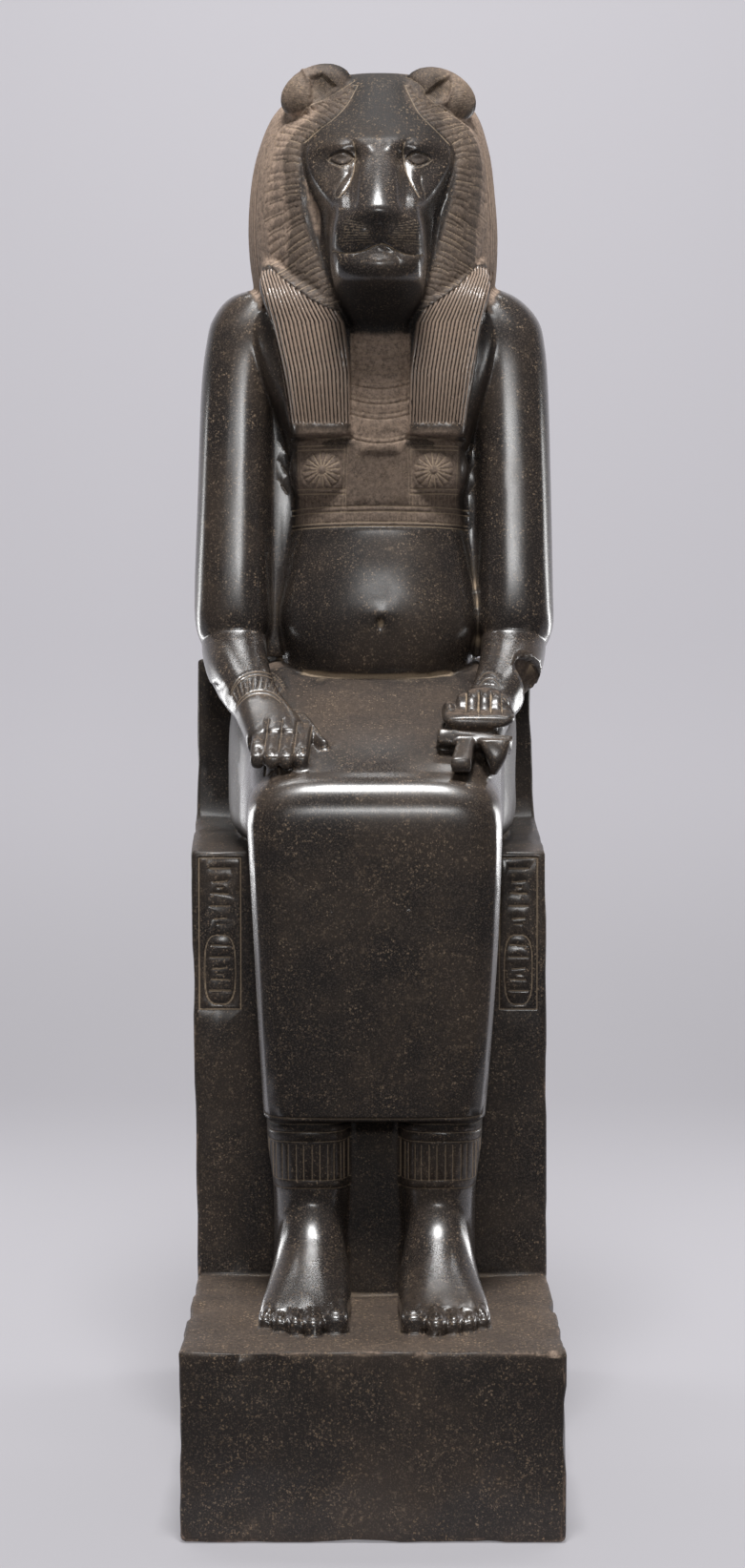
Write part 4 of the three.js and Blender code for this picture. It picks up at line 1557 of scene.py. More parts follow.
                lines.append(Stroke(((x - 9, z + 8), (x + 10, z - 10)), 0.8, 0.6, 0.55))
            skin.incise(lines, Facing.FRONT, depth, 0.02)
            fold = lobes[side][5:9] if side < 0 else lobes[side][8:11]
            skin.incise([Stroke(curve(fold, 12), 3.0, -2.2, 0.2)], Facing.FRONT, depth)
            skin.dull(oval(-85 if side < 0 else 103, 1796, 60, 48), 0.55, Facing.FRONT, (40, 150), 8)

    def _mane(self, skin: Surface) -> None:
        """Raises the mane a little and cuts its rows of tufts in two staggered columns.

        Args:
            skin: The statue's joined skin.
        """
        for side in (-1, 1):
            inner, outer = MANE_INNER[side], MANE_OUTER[side]
            ring = (*curve(inner, 40), *curve(outer, 40)[::-1])
            skin.step([Patch(ring, 0.8, 2.0)], Facing.FRONT, (20, 170))
            tufts: list[Stroke] = [
                Stroke(curve(inner[:5], 20), 1.1, 1.0, 0.75), Stroke(curve(outer, 40), 1.0, 0.7, 0.3)
            ]
            dice = np.random.default_rng(11)
            for column, (near, far, count) in enumerate(((0.02, 0.55, 40), (0.45, 0.97, 42))):
                for i in range(count):
                    t = (i + 0.5 * column + 0.5 * dice.random()) / (count + 1)
                    start, end = between(inner, t), between(outer, min(1.0, t + 0.01))
                    fall = 16 * float(
                        eased(np.array((t - 0.2) / 0.25)) * (1 - eased(np.array((t - 0.7) / 0.15)))
                    )
                    fall *= 0.6 + 0.8 * dice.random()
                    bow = 3 * dice.random() - 0.5
                    first, last = near + 0.1 * dice.random(), far - 0.14 * dice.random()
                    line = []
                    for step in range(6):
                        u = first + (last - first) * step / 5
                        spot = start + (end - start) * u
                        line.append(
                            (float(spot[0]), float(spot[1] - fall * u + bow * math.sin(math.pi * step / 5)))
                        )
                    tufts.append(Stroke(tuple(line), 1.0, 1.1, 0.3 + 0.45 * dice.random()))
            skin.incise(tufts, Facing.FRONT, (20, 175), 0.04)
            skin.dull(ring, 0.48, Facing.FRONT, (0, 190), 6)

    def _strands(self, skin: Surface) -> None:
        """Cuts the strands of the lappets and the finer ones over the rest of the wig.

        Args:
            skin: The statue's joined skin.
        """
        bounds = {
            -1: (
                ((-172, 1524), (-153, 1446), (-136, 1371), (-124, 1290)),
                ((-90, 1524), (-42, 1446), (-31, 1371), (-30, 1290)),
            ),
            1: (
                ((186, 1524), (166, 1446), (151, 1371), (140, 1290)),
                ((110, 1524), (66, 1446), (55, 1371), (53, 1290)),
            ),
        }
        chosen, spots = skin.seen(Facing.FRONT, (20, 180), 0.0)
        x, z = spots[:, 0], spots[:, 1]
        for side in (-1, 1):
            outer, inner = (np.array(line[::-1], float) for line in bounds[side])
            far = np.interp(z, outer[:, 1], outer[:, 0])
            near = np.interp(z, inner[:, 1], inner[:, 0])
            u = (x - far) / (near - far)
            low = np.array(MANE_OUTER[side][-6:], float)[::-1]
            edge = np.interp(np.abs(x), np.abs(low[:, 0]), low[:, 1])
            on = eased((z - 1292) / 3) * eased((edge - z) / 3 + 0.5) * (u > -0.02) * (u < 1.0)
            wave = 0.5 + 0.5 * np.cos(2 * np.pi * LAPPET_STRANDS * u)
            skin.points[chosen] -= skin.normals[chosen] * (3.2 * on * wave**2)[:, None]
            skin.phase[chosen] = np.where(on > 0, LAPPET_STRANDS * u, skin.phase[chosen])
            skin.combed[chosen] = np.maximum(skin.combed[chosen], on)
            skin.worked[chosen] = np.maximum(skin.worked[chosen], 0.4 * on)
            shape = [
                (-176, 1300), (-176, 1540), (-153, 1535), (-90, 1480), (-50, 1446), (-28, 1430), (-28, 1292),
                (-122, 1292),
            ]
            if side > 0:
                shape = [
                    (190, 1300), (190, 1540), (159, 1530), (100, 1480), (72, 1446), (52, 1430), (52, 1292),
                    (142, 1292),
                ]
            skin.dull(shape, 0.22, Facing.FRONT, (10, 190), 8)
        skin.turn_normals()
        ends = [
            Stroke(((-123, 1273), (-78, 1270), (-32, 1273)), 3.2, 5, 0),
            Stroke(((53, 1273), (97, 1270), (140, 1273)), 3.2, 5, 0),
        ]
        skin.incise(ends, Facing.FRONT, (20, 120), 0.02)
        self._back_strands(skin)

    def _back_strands(self, skin: Surface) -> None:
        """Cuts plain upright strands round the sides and the back of the wig.

        Args:
            skin: The statue's joined skin.
        """
        at, facing = skin.points, skin.normals
        height = at[:, 2]
        rows = np.array([between(self.wig, s) for s in np.linspace(0, 1, 80)])
        wide = np.interp(height, rows[:, 2], rows[:, 3])
        fore = np.interp(height, rows[:, 2], rows[:, 4])
        aft = np.interp(height, rows[:, 2], rows[:, 5])
        centre = np.interp(height, rows[:, 2], rows[:, 1])
        beside = (at[:, 0] - np.interp(height, rows[:, 2], rows[:, 0])) / wide
        ahead = (centre - at[:, 1]) / np.where(at[:, 1] < centre, fore, aft)
        power = WIG_SQUARENESS
        radius = (np.abs(beside) ** power + np.abs(ahead) ** power) ** (1 / power)
        around = np.arctan2(beside, ahead) / (2 * np.pi)
        on = (np.abs(radius - 1) < 0.05) * eased((height - 1300) / 8) * eased((1790 - height) / 40)
        on = on * (at[:, 1] > 128) * (facing[:, 2] < 0.9) * (facing[:, 2] > -0.9)
        on = on * np.where(at[:, 1] < 175, eased((1740 - height) / 80), 1)
        wave = 0.5 + 0.5 * np.cos(2 * np.pi * WIG_STRANDS * around)
        skin.points -= facing * (1.2 * on * wave**2)[:, None]
        skin.phase = np.where(skin.combed > 0, skin.phase, WIG_STRANDS * around)
        skin.combed = np.maximum(skin.combed, 0.6 * on)
        skin.matte = np.maximum(skin.matte, 0.78 * (np.abs(radius - 1) < 0.06) * (height > 1290))
        skin.turn_normals()


@dataclass(frozen=True)
class Collar:
    """The broad collar between the lappets, in rows that step forward towards the neck."""

    rows: tuple[float, ...] = (1262.0, 1292.0, 1322.0, 1350.0, 1385.0)

    def mass(self, clay: Clay) -> None:
        """Adds the stepped rows.

        Args:
            clay: The heap that takes the shapes.
        """
        for i, low in enumerate(self.rows):
            row = (
                (11, 120, low - 2, 54, 70 + 2.2 * i, 20, 3.2),
                (11, 120, low + 3, 56, 72 + 2.2 * i, 20, 3.2),
                (11, 120, 1440, 60, 74 + 2.2 * i, 20, 3.2),
            )
            clay.loft(row, Lift.FRONT, 40, 12)
        chest = (
            (11, 120, 1150, 40, 50, 20, 2.4), (11, 120, 1215, 52, 62, 20, 2.4),
            (11, 120, 1275, 60, 71, 20, 2.6),
        )
        clay.loft(chest, Lift.FRONT, 40, 24)

    def carve(self, skin: Surface) -> None:
        """Carves the double arcs of the rows.

        Args:
            skin: The statue's joined skin.
        """
        arcs: list[Stroke] = []
        for middle in (1414, 1393, 1369, 1345, 1322, 1300, 1264):
            for gap, depth in ((0, 1.6), (7, 0.8)):
                line = [(11 + 44 * u, middle + gap + 8 * u * u) for u in spread(-1, 1, 13)]
                arcs.append(Stroke(tuple(line), 1.5, depth, 0.5))
        for i in range(15):
            x = -28 + 78 * (i + 0.5) / 15
            arcs.append(Stroke(((x, 1274), (x, 1296)), 1.0, 0.5, 0.3))
        skin.incise(arcs, Facing.FRONT, (10, 80))
        shape = ((-34, 1430), (-34, 1270), (-14, 1260), (36, 1260), (58, 1270), (58, 1430))
        skin.dull(shape, 0.9, Facing.FRONT, (10, 90))


class NodeGraph:
    """Short ways to build a shader's nodes."""

    def __init__(self, tree: bpy.types.NodeTree) -> None:
        """Keeps the tree that the nodes go into."""
        self.tree = tree

    def node(self, kind: str, **values: object) -> bpy.types.Node:
        """Adds a node and sets its properties.

        Args:
            kind: The node's type name.
            **values: Properties of the node.

        Returns:
            The node.
        """
        made = self.tree.nodes.new(kind)
        for name, value in values.items():
            setattr(made, name, value)
        return made

    def feed(self, socket: bpy.types.NodeSocket, value: object) -> None:
        """Links an output to a socket, or sets the socket's constant.

        Args:
            socket: The input.
            value: An output socket or a constant.
        """
        if isinstance(value, bpy.types.NodeSocket):
            self.tree.links.new(value, socket)
        else:
            socket.default_value = value

    def math(self, operation: str, *values: object) -> bpy.types.NodeSocket:
        """Adds a math node whose result isn't clamped.

        Args:
            operation: Blender's name of the operation.
            *values: Sockets or constants.

        Returns:
            The result.
        """
        made = self.node("ShaderNodeMath", operation=operation)
        for socket, value in zip(made.inputs, values):
            self.feed(socket, value)
        return made.outputs[0]

    def ramp(
        self, value: object, low: float, high: float, start: float = 0.0, end: float = 1.0
    ) -> bpy.types.NodeSocket:
        """Maps a span of values smoothly to another.

        Args:
            value: Socket or constant.
            low: Value that gives the start.
            high: Value that gives the end.
            start: Result at the low value.
            end: Result at the high value.

        Returns:
            The result.
        """
        made = self.node("ShaderNodeMapRange", interpolation_type="SMOOTHSTEP", clamp=True)
        for name, given in (
            ("Value", value), ("From Min", low), ("From Max", high), ("To Min", start), ("To Max", end)
        ):
            self.feed(made.inputs[name], given)
        return made.outputs["Result"]

    def mix(self, share: object, first: object, second: object) -> bpy.types.NodeSocket:
        """Mixes two colours.

        Args:
            share: Share of the second colour.
            first: First colour.
            second: Second colour.

        Returns:
            The mixed colour.
        """
        made = self.node("ShaderNodeMix", data_type="RGBA")
        self.feed(made.inputs["Factor"], share)
        colours = [socket for socket in made.inputs if socket.type == "RGBA"]
        self.feed(colours[0], first)
        self.feed(colours[1], second)
        return next(socket for socket in made.outputs if socket.type == "RGBA")

    def noise(
        self, place: object, scale: float, detail: float = 4.0, roughness: float = 0.55
    ) -> bpy.types.NodeSocket:
        """Adds a noise texture and returns its value.

        Args:
            place: Socket with the place.
            scale: Number of swings in a metre.
            detail: Number of finer layers.
            roughness: Strength of the finer layers.

        Returns:
            The value, from 0 to 1.
        """
        made = self.node("ShaderNodeTexNoise")
        self.feed(made.inputs["Vector"], place)
        made.inputs["Scale"].default_value = scale
        made.inputs["Detail"].default_value = detail
        made.inputs["Roughness"].default_value = roughness
        return made.outputs[0]


Colour = tuple[float, float, float, float]


def speckle_group() -> bpy.types.NodeTree:
    """Builds the stone's grain: crystals, pits, fine grain, broad stains, flecks in them and patchy wear.

    Returns:
        The node group.
    """
    tree = bpy.data.node_groups.new("stone grain", "ShaderNodeTree")
    tree.interface.new_socket(name="Place", in_out="INPUT", socket_type="NodeSocketVector")
    for name in ("Crystals", "Pits", "Grain", "Stain", "Flecks", "Wear"):
        tree.interface.new_socket(name=name, in_out="OUTPUT", socket_type="NodeSocketFloat")
    graph = NodeGraph(tree)
    place = graph.node("NodeGroupInput").outputs["Place"]
    masks: list[bpy.types.NodeSocket] = []
    wobble = graph.node("ShaderNodeTexNoise")
    graph.feed(wobble.inputs["Vector"], place)
    wobble.inputs["Scale"].default_value = 330.0
    moved = graph.node("ShaderNodeVectorMath", operation="MULTIPLY_ADD")
    for socket, value in zip(moved.inputs, (wobble.outputs["Color"], (0.008, 0.008, 0.008), place)):
        graph.feed(socket, value)
    for scale, least, reach, patch in ((250.0, 0.6, 0.46, 26.0), (175.0, 0.34, 0.38, 15.0)):
        cells = graph.node("ShaderNodeTexVoronoi", feature="F1")
        graph.feed(cells.inputs["Vector"], moved.outputs[0])
        cells.inputs["Scale"].default_value = scale
        split = graph.node("ShaderNodeSeparateColor")
        graph.feed(split.inputs[0], cells.outputs["Color"])
        rare = graph.ramp(split.outputs[0], least, least + 0.1)
        core = graph.ramp(cells.outputs["Distance"], reach, reach * 0.35)
        patchy = graph.ramp(graph.noise(place, patch, 5.0), 0.38, 0.62)
        masks.append(graph.math("MULTIPLY", graph.math("MULTIPLY", rare, core), patchy))
    grain = graph.noise(place, 420.0, 3.0, 0.7)
    stain = graph.ramp(graph.noise(place, 7.0, 6.0, 0.6), 0.4, 0.68)
    flecks = graph.math("MULTIPLY", graph.ramp(graph.noise(place, 95.0, 4.0, 0.65), 0.56, 0.74), stain)
    out = graph.node("NodeGroupOutput")
    wear = graph.noise(place, 170.0, 5.0, 0.75)
    named = {
        "Crystals": masks[0], "Pits": masks[1], "Grain": grain, "Stain": stain, "Flecks": flecks, "Wear": wear
    }
    for name, value in named.items():
        graph.feed(out.inputs[name], value)
    return tree


@dataclass(frozen=True)
class Stone:
    """Dark granodiorite: polished where it is smooth, pale where it is carved or broken, with painted shade
    in dark places and in the strands' grooves and a painted highlight on the strands' ridges.
    """

    dark: Colour = (0.026, 0.0215, 0.0195, 1)
    brown: Colour = (0.056, 0.041, 0.031, 1)
    crystal: Colour = (0.33, 0.24, 0.165, 1)
    pit: Colour = (0.35, 0.245, 0.155, 1)
    # Near-black colour for painted shade, also used in the strands' grooves.
    painted_shade: Colour = (0.007, 0.0055, 0.005, 1)
    # Pale unpolished stone, also used as the painted highlight on the strands' ridges.
    dull: Colour = (0.43, 0.315, 0.24, 1)
    dust: Colour = (0.46, 0.35, 0.24, 1)
    polish: float = 0.24
    rough: float = 0.62

    def material(self) -> bpy.types.Material:
        """Builds the stone's material.

        Returns:
            The material.
        """
        made = bpy.data.materials.new("granodiorite")
        made.use_nodes = True
        tree = made.node_tree
        tree.nodes.clear()
        graph = NodeGraph(tree)
        place = graph.node("ShaderNodeTexCoord").outputs["Object"]
        grain = graph.node("ShaderNodeGroup", node_tree=speckle_group())
        graph.feed(grain.inputs["Place"], place)
        matte = graph.node("ShaderNodeAttribute", attribute_name="matte").outputs["Fac"]
        dust = graph.node("ShaderNodeAttribute", attribute_name="dust").outputs["Fac"]
        fine = grain.outputs["Grain"]
        body = graph.mix(graph.math("MULTIPLY", grain.outputs["Stain"], 0.8), self.dark, self.brown)
        body = graph.mix(graph.ramp(fine, 0.5, 0.8, 0.0, 0.35), body, self.dull)
        body = graph.mix(graph.math("MULTIPLY", grain.outputs["Flecks"], 0.4), body, self.crystal)
        pits = graph.node("ShaderNodeAttribute", attribute_name="pits").outputs["Fac"]
        painted_shade = graph.node("ShaderNodeAttribute", attribute_name="painted_shade").outputs["Fac"]
        worn = graph.math(
            "MULTIPLY", graph.ramp(matte, 0.25, 1.0), graph.ramp(grain.outputs["Wear"], 0.3, 0.66, 0.35, 1.1)
        )
        body = graph.mix(worn, body, self.dull)
        body = graph.mix(graph.math("MULTIPLY", grain.outputs["Crystals"], 0.8), body, self.crystal)
        pitted = graph.math("MULTIPLY", grain.outputs["Pits"], pits)
        body = graph.mix(pitted, body, self.pit)
        filled = graph.math("MULTIPLY", graph.ramp(dust, 0.15, 0.85), graph.ramp(fine, 0.2, 0.6, 0.6, 0.95))
        body = graph.mix(filled, body, self.dust)
        # Painted shade: the marked dark places are mixed towards near black.
        body = graph.mix(
            graph.math("MULTIPLY", painted_shade, graph.ramp(fine, 0.35, 0.62, 0.95, 0.6)), body, self.painted_shade
        )
        phase = graph.node("ShaderNodeAttribute", attribute_name="phase").outputs["Fac"]
        combed = graph.node("ShaderNodeAttribute", attribute_name="combed").outputs["Fac"]
        groove = graph.math("COSINE", graph.math("MULTIPLY", phase, 2 * math.pi))
        groove = graph.math("MULTIPLY", combed, graph.ramp(groove, 0.2, 0.98))
        # Painted highlight and shade on the strands: the ridges are mixed towards pale stone and the grooves
        # towards near black.
        ridge = graph.math("MULTIPLY", graph.math("SUBTRACT", combed, groove), 0.62)
        body = graph.mix(ridge, body, self.dull)
        body = graph.mix(graph.math("MULTIPLY", groove, 0.75), body, self.painted_shade)
        dullness = graph.math("MAXIMUM", graph.math("MAXIMUM", matte, dust), painted_shade)
        rough = graph.ramp(dullness, 0.0, 0.5, self.polish, self.rough)
        rough = graph.math("ADD", rough, graph.ramp(fine, 0.35, 0.75, -0.03, 0.12))
        rough = graph.math("ADD", rough, graph.math("MULTIPLY", grain.outputs["Stain"], 0.1))
        bump = graph.node("ShaderNodeBump")
        bump.inputs["Strength"].default_value = 0.35
        bump.inputs["Distance"].default_value = 0.0006
        height = graph.math("MULTIPLY", fine, graph.ramp(dullness, 0.0, 0.8, 0.25, 1.0))
        height = graph.math("SUBTRACT", height, graph.math("MULTIPLY", pitted, 1.5))
        coarse = graph.math(
            "MULTIPLY", graph.noise(place, 75.0, 6.0, 0.65), graph.math("MULTIPLY", pits, 4.0)
        )
        height = graph.math("ADD", height, coarse)
        graph.feed(bump.inputs["Height"], graph.math("SUBTRACT", height, graph.math("MULTIPLY", groove, 3.0)))
        shader = graph.node("ShaderNodeBsdfPrincipled")
        graph.feed(shader.inputs["Base Color"], body)
        graph.feed(shader.inputs["Roughness"], rough)
        gloss = graph.math(
            "MULTIPLY", graph.ramp(dullness, 0.05, 0.5, 1.0, 0.0), graph.ramp(painted_shade, 0.05, 0.4, 1.0, 0.0)
        )
        gloss = graph.math("MULTIPLY", gloss, graph.ramp(fine, 0.3, 0.6, 0.7, 1.0))
        gloss = graph.math(
            "MULTIPLY", gloss, graph.math("SUBTRACT", 1.0, graph.math("MAXIMUM", pitted, groove))
        )
        graph.feed(shader.inputs["Coat Weight"], gloss)
        shader.inputs["Coat Roughness"].default_value = self.polish
        shader.inputs["Coat IOR"].default_value = 1.55
        shader.inputs["Specular IOR Level"].default_value = 0.18
        graph.feed(shader.inputs["Normal"], bump.outputs["Normal"])
        shader.inputs["IOR"].default_value = 1.6
        out = graph.node("ShaderNodeOutputMaterial")
        graph.feed(out.inputs["Surface"], shader.outputs[0])
        return made


@dataclass(frozen=True)
class Paint:
    """Plain paper of the floor and the backdrop, clear from behind so that it hides nothing there."""

    colour: Colour = (0.42, 0.41, 0.435, 1)
    floor: Colour = (0.31, 0.303, 0.32, 1)
    glow: float = 0.53

    def material(self) -> bpy.types.Material:
        """Builds the paper's material.

        Returns:
            The material.
        """
        made = bpy.data.materials.new("paper")
        made.use_nodes = True
        shader = made.node_tree.nodes["Principled BSDF"]
        graph = NodeGraph(made.node_tree)
        split = graph.node("ShaderNodeSeparateXYZ")
        graph.feed(split.inputs[0], graph.node("ShaderNodeTexCoord").outputs["Object"])
        graph.feed(
            shader.inputs["Base Color"],
            graph.mix(graph.ramp(split.outputs["Z"], 0.0, 0.9), self.floor, self.colour),
        )
        shader.inputs["Roughness"].default_value = 0.9
        shader.inputs["Specular IOR Level"].default_value = 0.1
        shader.inputs["Emission Color"].default_value = self.colour
        shader.inputs["Emission Strength"].default_value = self.glow
        sides = graph.node("ShaderNodeMixShader")
        graph.feed(sides.inputs[0], graph.node("ShaderNodeNewGeometry").outputs["Backfacing"])
        graph.feed(sides.inputs[1], shader.outputs[0])
        graph.feed(sides.inputs[2], graph.node("ShaderNodeBsdfTransparent").outputs[0])
        graph.feed(made.node_tree.nodes["Material Output"].inputs["Surface"], sides.outputs[0])
        return made


class Statue:
    """The whole statue: one piece of stone."""

    def __init__(self) -> None:
        """Lists the parts in the order in which they are carved."""
        self.parts: list[Part] = [
            BlockAndThrone(), Dress(), Feet(), Body(), Arms(), HeadAndWig(), Collar()
        ]

    def build(self) -> bpy.types.Object:
        """Models, carves and finishes the statue.

        Returns:
            The finished piece.
        """
        clay = Clay()
        for part in self.parts:
            part.mass(clay)
        skin = Surface(clay.skin(CELL))
        log.info("joined skin: %d corners", len(skin.points))
        skin.smooth(12, self._softness(skin))
        skin.blend(22, self._melting(skin))
        skin.refine(self._busy(skin))
        skin.smooth(2, self._softness(skin))
        log.info("refined skin: %d corners", len(skin.points))
        for part in self.parts:
            part.carve(skin)
            log.info("carved %s", type(part).__name__)
        self._weather(skin)
        self._settle(skin)
        return self._piece(skin)

    @staticmethod
    def _softness(skin: Surface) -> Array:
        """Keeps the smoothing light where forms are small.

        Args:
            skin: The statue's joined skin.

        Returns:
            Strength of the smoothing at each corner.
        """
        x, y, z = skin.points.T
        face = (z > 1430) & (np.abs(x - 10) < 75) & (y < 60)
        hands = (z > 770) & (z < 905) & (y < 0)
        toes = (z < 60) & (y < -220)
        return np.where(face | hands | toes, 0.45, 1.0)

    @staticmethod
    def _melting(skin: Surface) -> Array:
        """Corners on the knees' roll, on the insteps, and where the brow runs into the forehead.

        Args:
            skin: The statue's joined skin.

        Returns:
            Strength of the melting at each corner.
        """
        x, y, z = skin.points.T
        knees = eased((z - 700) / 25) * (y < -130) * (z < 818) * (skin.normals[:, 2] > -0.2)
        hands = (z > 786) & (np.abs(x) > 80)
        brow = eased((z - 1708) / 12) * (y < 90) * (np.abs(x - 10) < 80) * 0.8
        ankles = eased((z - 52) / 14) * eased((176 - z) / 10) * (y < -90) * (z < 175)
        return np.where(hands & (z < 1000), 0, knees) + brow + ankles

    @staticmethod
    def _busy(skin: Surface) -> Array:
        """Corners near fine carving.

        Args:
            skin: The statue's joined skin.

        Returns:
            True for each such corner.
        """
        x, y, z = skin.points.T
        ahead = skin.normals[:, 1] < 0.2
        head = (z > 1285) & (y < 190) & ahead
        bodice = (z > 1130) & (z < 1290) & (np.abs(x - 10) < 150) & (y < 150) & ahead
        hands = (z > 770) & (z < 935) & (y < 60) & (np.abs(x) > 55)
        ankles = (z > 155) & (z < 285) & (y < -20)
        toes = (z < 60) & (z > 1) & (y < -250)
        panels = (z > 400) & (z < 646) & (y < 12) & (np.abs(x) > 186)
        return head | bodice | hands | ankles | toes | panels

    @staticmethod
    def _weather(skin: Surface) -> None:
        """Wears the block's and the throne's faces into shallow waves, and the body hardly.

        Args:
            skin: The statue's joined skin.
        """
        dice = np.random.default_rng(3)
        waves = np.zeros(len(skin.points))
        for _ in range(26):
            way = dice.normal(size=3)
            length = 35 + 110 * dice.random()
            turn = skin.points @ (way / np.linalg.norm(way)) * (2 * math.pi / length)
            waves += length / 145 * np.sin(turn + 2 * math.pi * dice.random())
        x, y, z = skin.points.T
        block = eased((6 - z) / 6)
        throne = 0.45 * ((y > -4) & (np.abs(x) > 190) & (z < 900))
        skin.points -= skin.normals * (0.8 * np.maximum(block, throne) * np.maximum(waves + 1, 0))[:, None]
        skin.turn_normals()

    @staticmethod
    def _settle(skin: Surface) -> None:
        """Marks the dusty hollows and the dull and pitted places, paints shade into the dark places under the
        chin, the dress and the lappets and onto the forehead, and levels the underside.

        Args:
            skin: The statue's joined skin.
        """
        raw = np.zeros(len(skin.points))
        for axis in range(3):
            raw += (skin.mean_of(skin.points[:, axis]) - skin.points[:, axis]) * skin.normals[:, axis]
        for _ in range(6):
            raw = 0.4 * raw + 0.6 * skin.mean_of(raw)
        x, y, z = skin.points.T
        most = np.where((z > 770) & (z < 1300) & (y > -60), 0.75, 0.42)
        crease = (y < 90) & (z > 860) & (z < 1130)
        skin.dust = np.maximum(skin.dust, np.clip((raw - 0.1) * 3.0, 0, most))
        skin.dust = np.maximum(skin.dust, np.clip((raw - 0.03) * 7.0, 0, 0.75 * crease))
        sides = 0.3 * np.maximum(eased((4 - z) / 6), eased((y + 2) / 6) * (z < 880) * (np.abs(x) > 160))
        tops = 0.44 * eased((skin.normals[:, 2] - 0.8) / 0.15) * (z < 4)
        behind = 0.35 * eased((y - 300) / 30)
        forehead = 0.16 * eased((z - 1706) / 40) * (y < 140)
        lap = 0.5 * eased((skin.normals[:, 2] - 0.8) / 0.14) * eased((y + 205) / 70) * (z > 700) * (z < 960)
        lap *= np.abs(x) < 200
        belly = 0.2 * eased((z - 900) / 60) * eased((1140 - z) / 20) * (y < 100) * (np.abs(x - 10) < 105)
        hands = 0.2 * eased((905 - z) / 20) * (z > 780) * eased((-50 - y) / 20) * (np.abs(x) > 60)
        skin.matte = np.clip(
            np.max([skin.matte, sides, tops, behind, forehead, lap, belly, hands], axis=0), 0, 1
        )
        brow = eased((z - 1700) / 30) * (y < 140)
        rims = eased((26 - z - BASE_HEIGHT) / 24) + eased((z + 26) / 22) * (z < 4)
        skin.matte = np.maximum(skin.matte, 0.4 * np.clip(rims, 0, 1) * (np.abs(skin.normals[:, 2]) < 0.9))
        lip = 0.5 * eased((1535 - z) / 20) * eased((z - 1490) / 20) * (y < 0)
        skin.pits = np.clip(brow + rims + lip + 0.25 * (y < 60) + 0.3 * (z < 4), 0, 1)
        # Painted shade: under the chin and jaw (chin), on downward-facing surfaces from 200 to 700 high
        # (hem), in a band below the lappets' ends (below) and just under the hem line (under); crown paints
        # the forehead darker and duller.
        chin = eased((1506 - z) / 22) * eased((z - 1414) / 26) * eased((70 - np.abs(x - 10)) / 16) * (y < 110)
        hem = eased((-0.25 - skin.normals[:, 2]) / 0.3) * (z > 200) * (z < 700)
        crown = 0.64 * eased((z - 1706) / 22) * eased((104 - np.abs(x - 11)) / 16) * (y < 130)
        below = eased((1274 - z) / 3) * eased((z - 1256) / 5) * (y < 62) * (np.abs(np.abs(x - 9) - 87) < 46)
        under = eased((HEM - z) / 3) * eased((z - HEM + 14) / 6) * (y < 0)
        skin.painted_shade = np.clip(np.max([chin, 0.8 * hem, crown, 0.8 * below, 0.8 * under], axis=0), 0, 1)
        skin.points[:, 2] = np.maximum(skin.points[:, 2], -BASE_HEIGHT)

    @staticmethod
    def _guard(piece: bpy.types.Object, worked: Array) -> None:
        """Weighs the corners so that thinning spares the carved lines.

        Args:
            piece: The statue.
            worked: How finely each corner is carved, from 0 to 1.
        """
        group = piece.vertex_groups.new(name="plain")
        levels = np.round(np.clip(1 - worked, LEAST_GUARD, 1) * GUARD_LEVELS).astype(int)
        for level in range(GUARD_LEVELS + 1):
            chosen = np.flatnonzero(levels == level)
            if len(chosen):
                group.add(chosen.tolist(), max(level / GUARD_LEVELS, LEAST_GUARD), "REPLACE")

    def _piece(self, skin: Surface) -> bpy.types.Object:
        """Turns the carved skin into the piece, light enough to be handed over.

        Args:
            skin: The statue's joined skin.

        Returns:
            The finished piece.
        """
        low, high = (np.array(corner) for corner in BOX)
        low, high = low + BOX_MARGIN, high - BOX_MARGIN
        world = skin.points / 1000 + (0, BASE_DEPTH / 2000 - 0.5, BASE_HEIGHT / 1000)
        skin.points = np.clip(world, low, high)
        skin.turn_normals()
        for name in FIELDS[1:]:
            values = getattr(skin, name)
            layer = skin.mesh.attributes.new(name, "FLOAT", "POINT")
            layer.data.foreach_set("value", values.astype(np.float32))
        piece = bpy.data.objects.new("statue", skin.mesh)
        bpy.context.scene.collection.objects.link(piece)
        triangles = sum(len(face.vertices) - 2 for face in skin.mesh.polygons)
        if triangles > MOST_TRIANGLES:
            self._guard(piece, skin.worked)
            thin = piece.modifiers.new("thinned", "DECIMATE")
            thin.vertex_group = "plain"
            thin.vertex_group_factor = CARVING_SPARED
            thin.ratio = MOST_TRIANGLES / triangles
            thin.use_collapse_triangulate = True
            heavy = skin.mesh
            piece.data = applied(piece)
            piece.modifiers.clear()
            piece.vertex_groups.clear()
            bpy.data.meshes.remove(heavy)
            for vertex in piece.data.vertices:
                vertex.co = np.clip(vertex.co, low, high)
        piece.data.name = "statue"
        piece.data.shade_smooth()
        piece.data.materials.clear()
        piece.data.materials.append(Stone().material())
        log.info("statue: %d triangles", sum(len(face.vertices) - 2 for face in piece.data.polygons))
        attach(piece, "root")
        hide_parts("seated_statue")
        return piece


@dataclass(frozen=True)
class Softbox:
    """A rectangular studio light."""

    name: str
    place: tuple[float, float, float]
    aim: tuple[float, float, float]
    wide: float
    tall: float
    power: float

    def add(self) -> None:
        """Hangs the light."""
        data = bpy.data.lights.new(self.name, "AREA")
        data.shape = "RECTANGLE"
        data.size = self.wide
        data.size_y = self.tall
        data.energy = self.power
        lamp = bpy.data.objects.new(self.name, data)
        lamp.location = self.place
        lamp.visible_camera = False
        way = Vector(self.aim) - Vector(self.place)
        lamp.rotation_euler = way.to_track_quat(
            "-Z", "Z" if abs(way.normalized().z) < 0.9 else "Y"
        ).to_euler()
        bpy.context.scene.collection.objects.link(lamp)


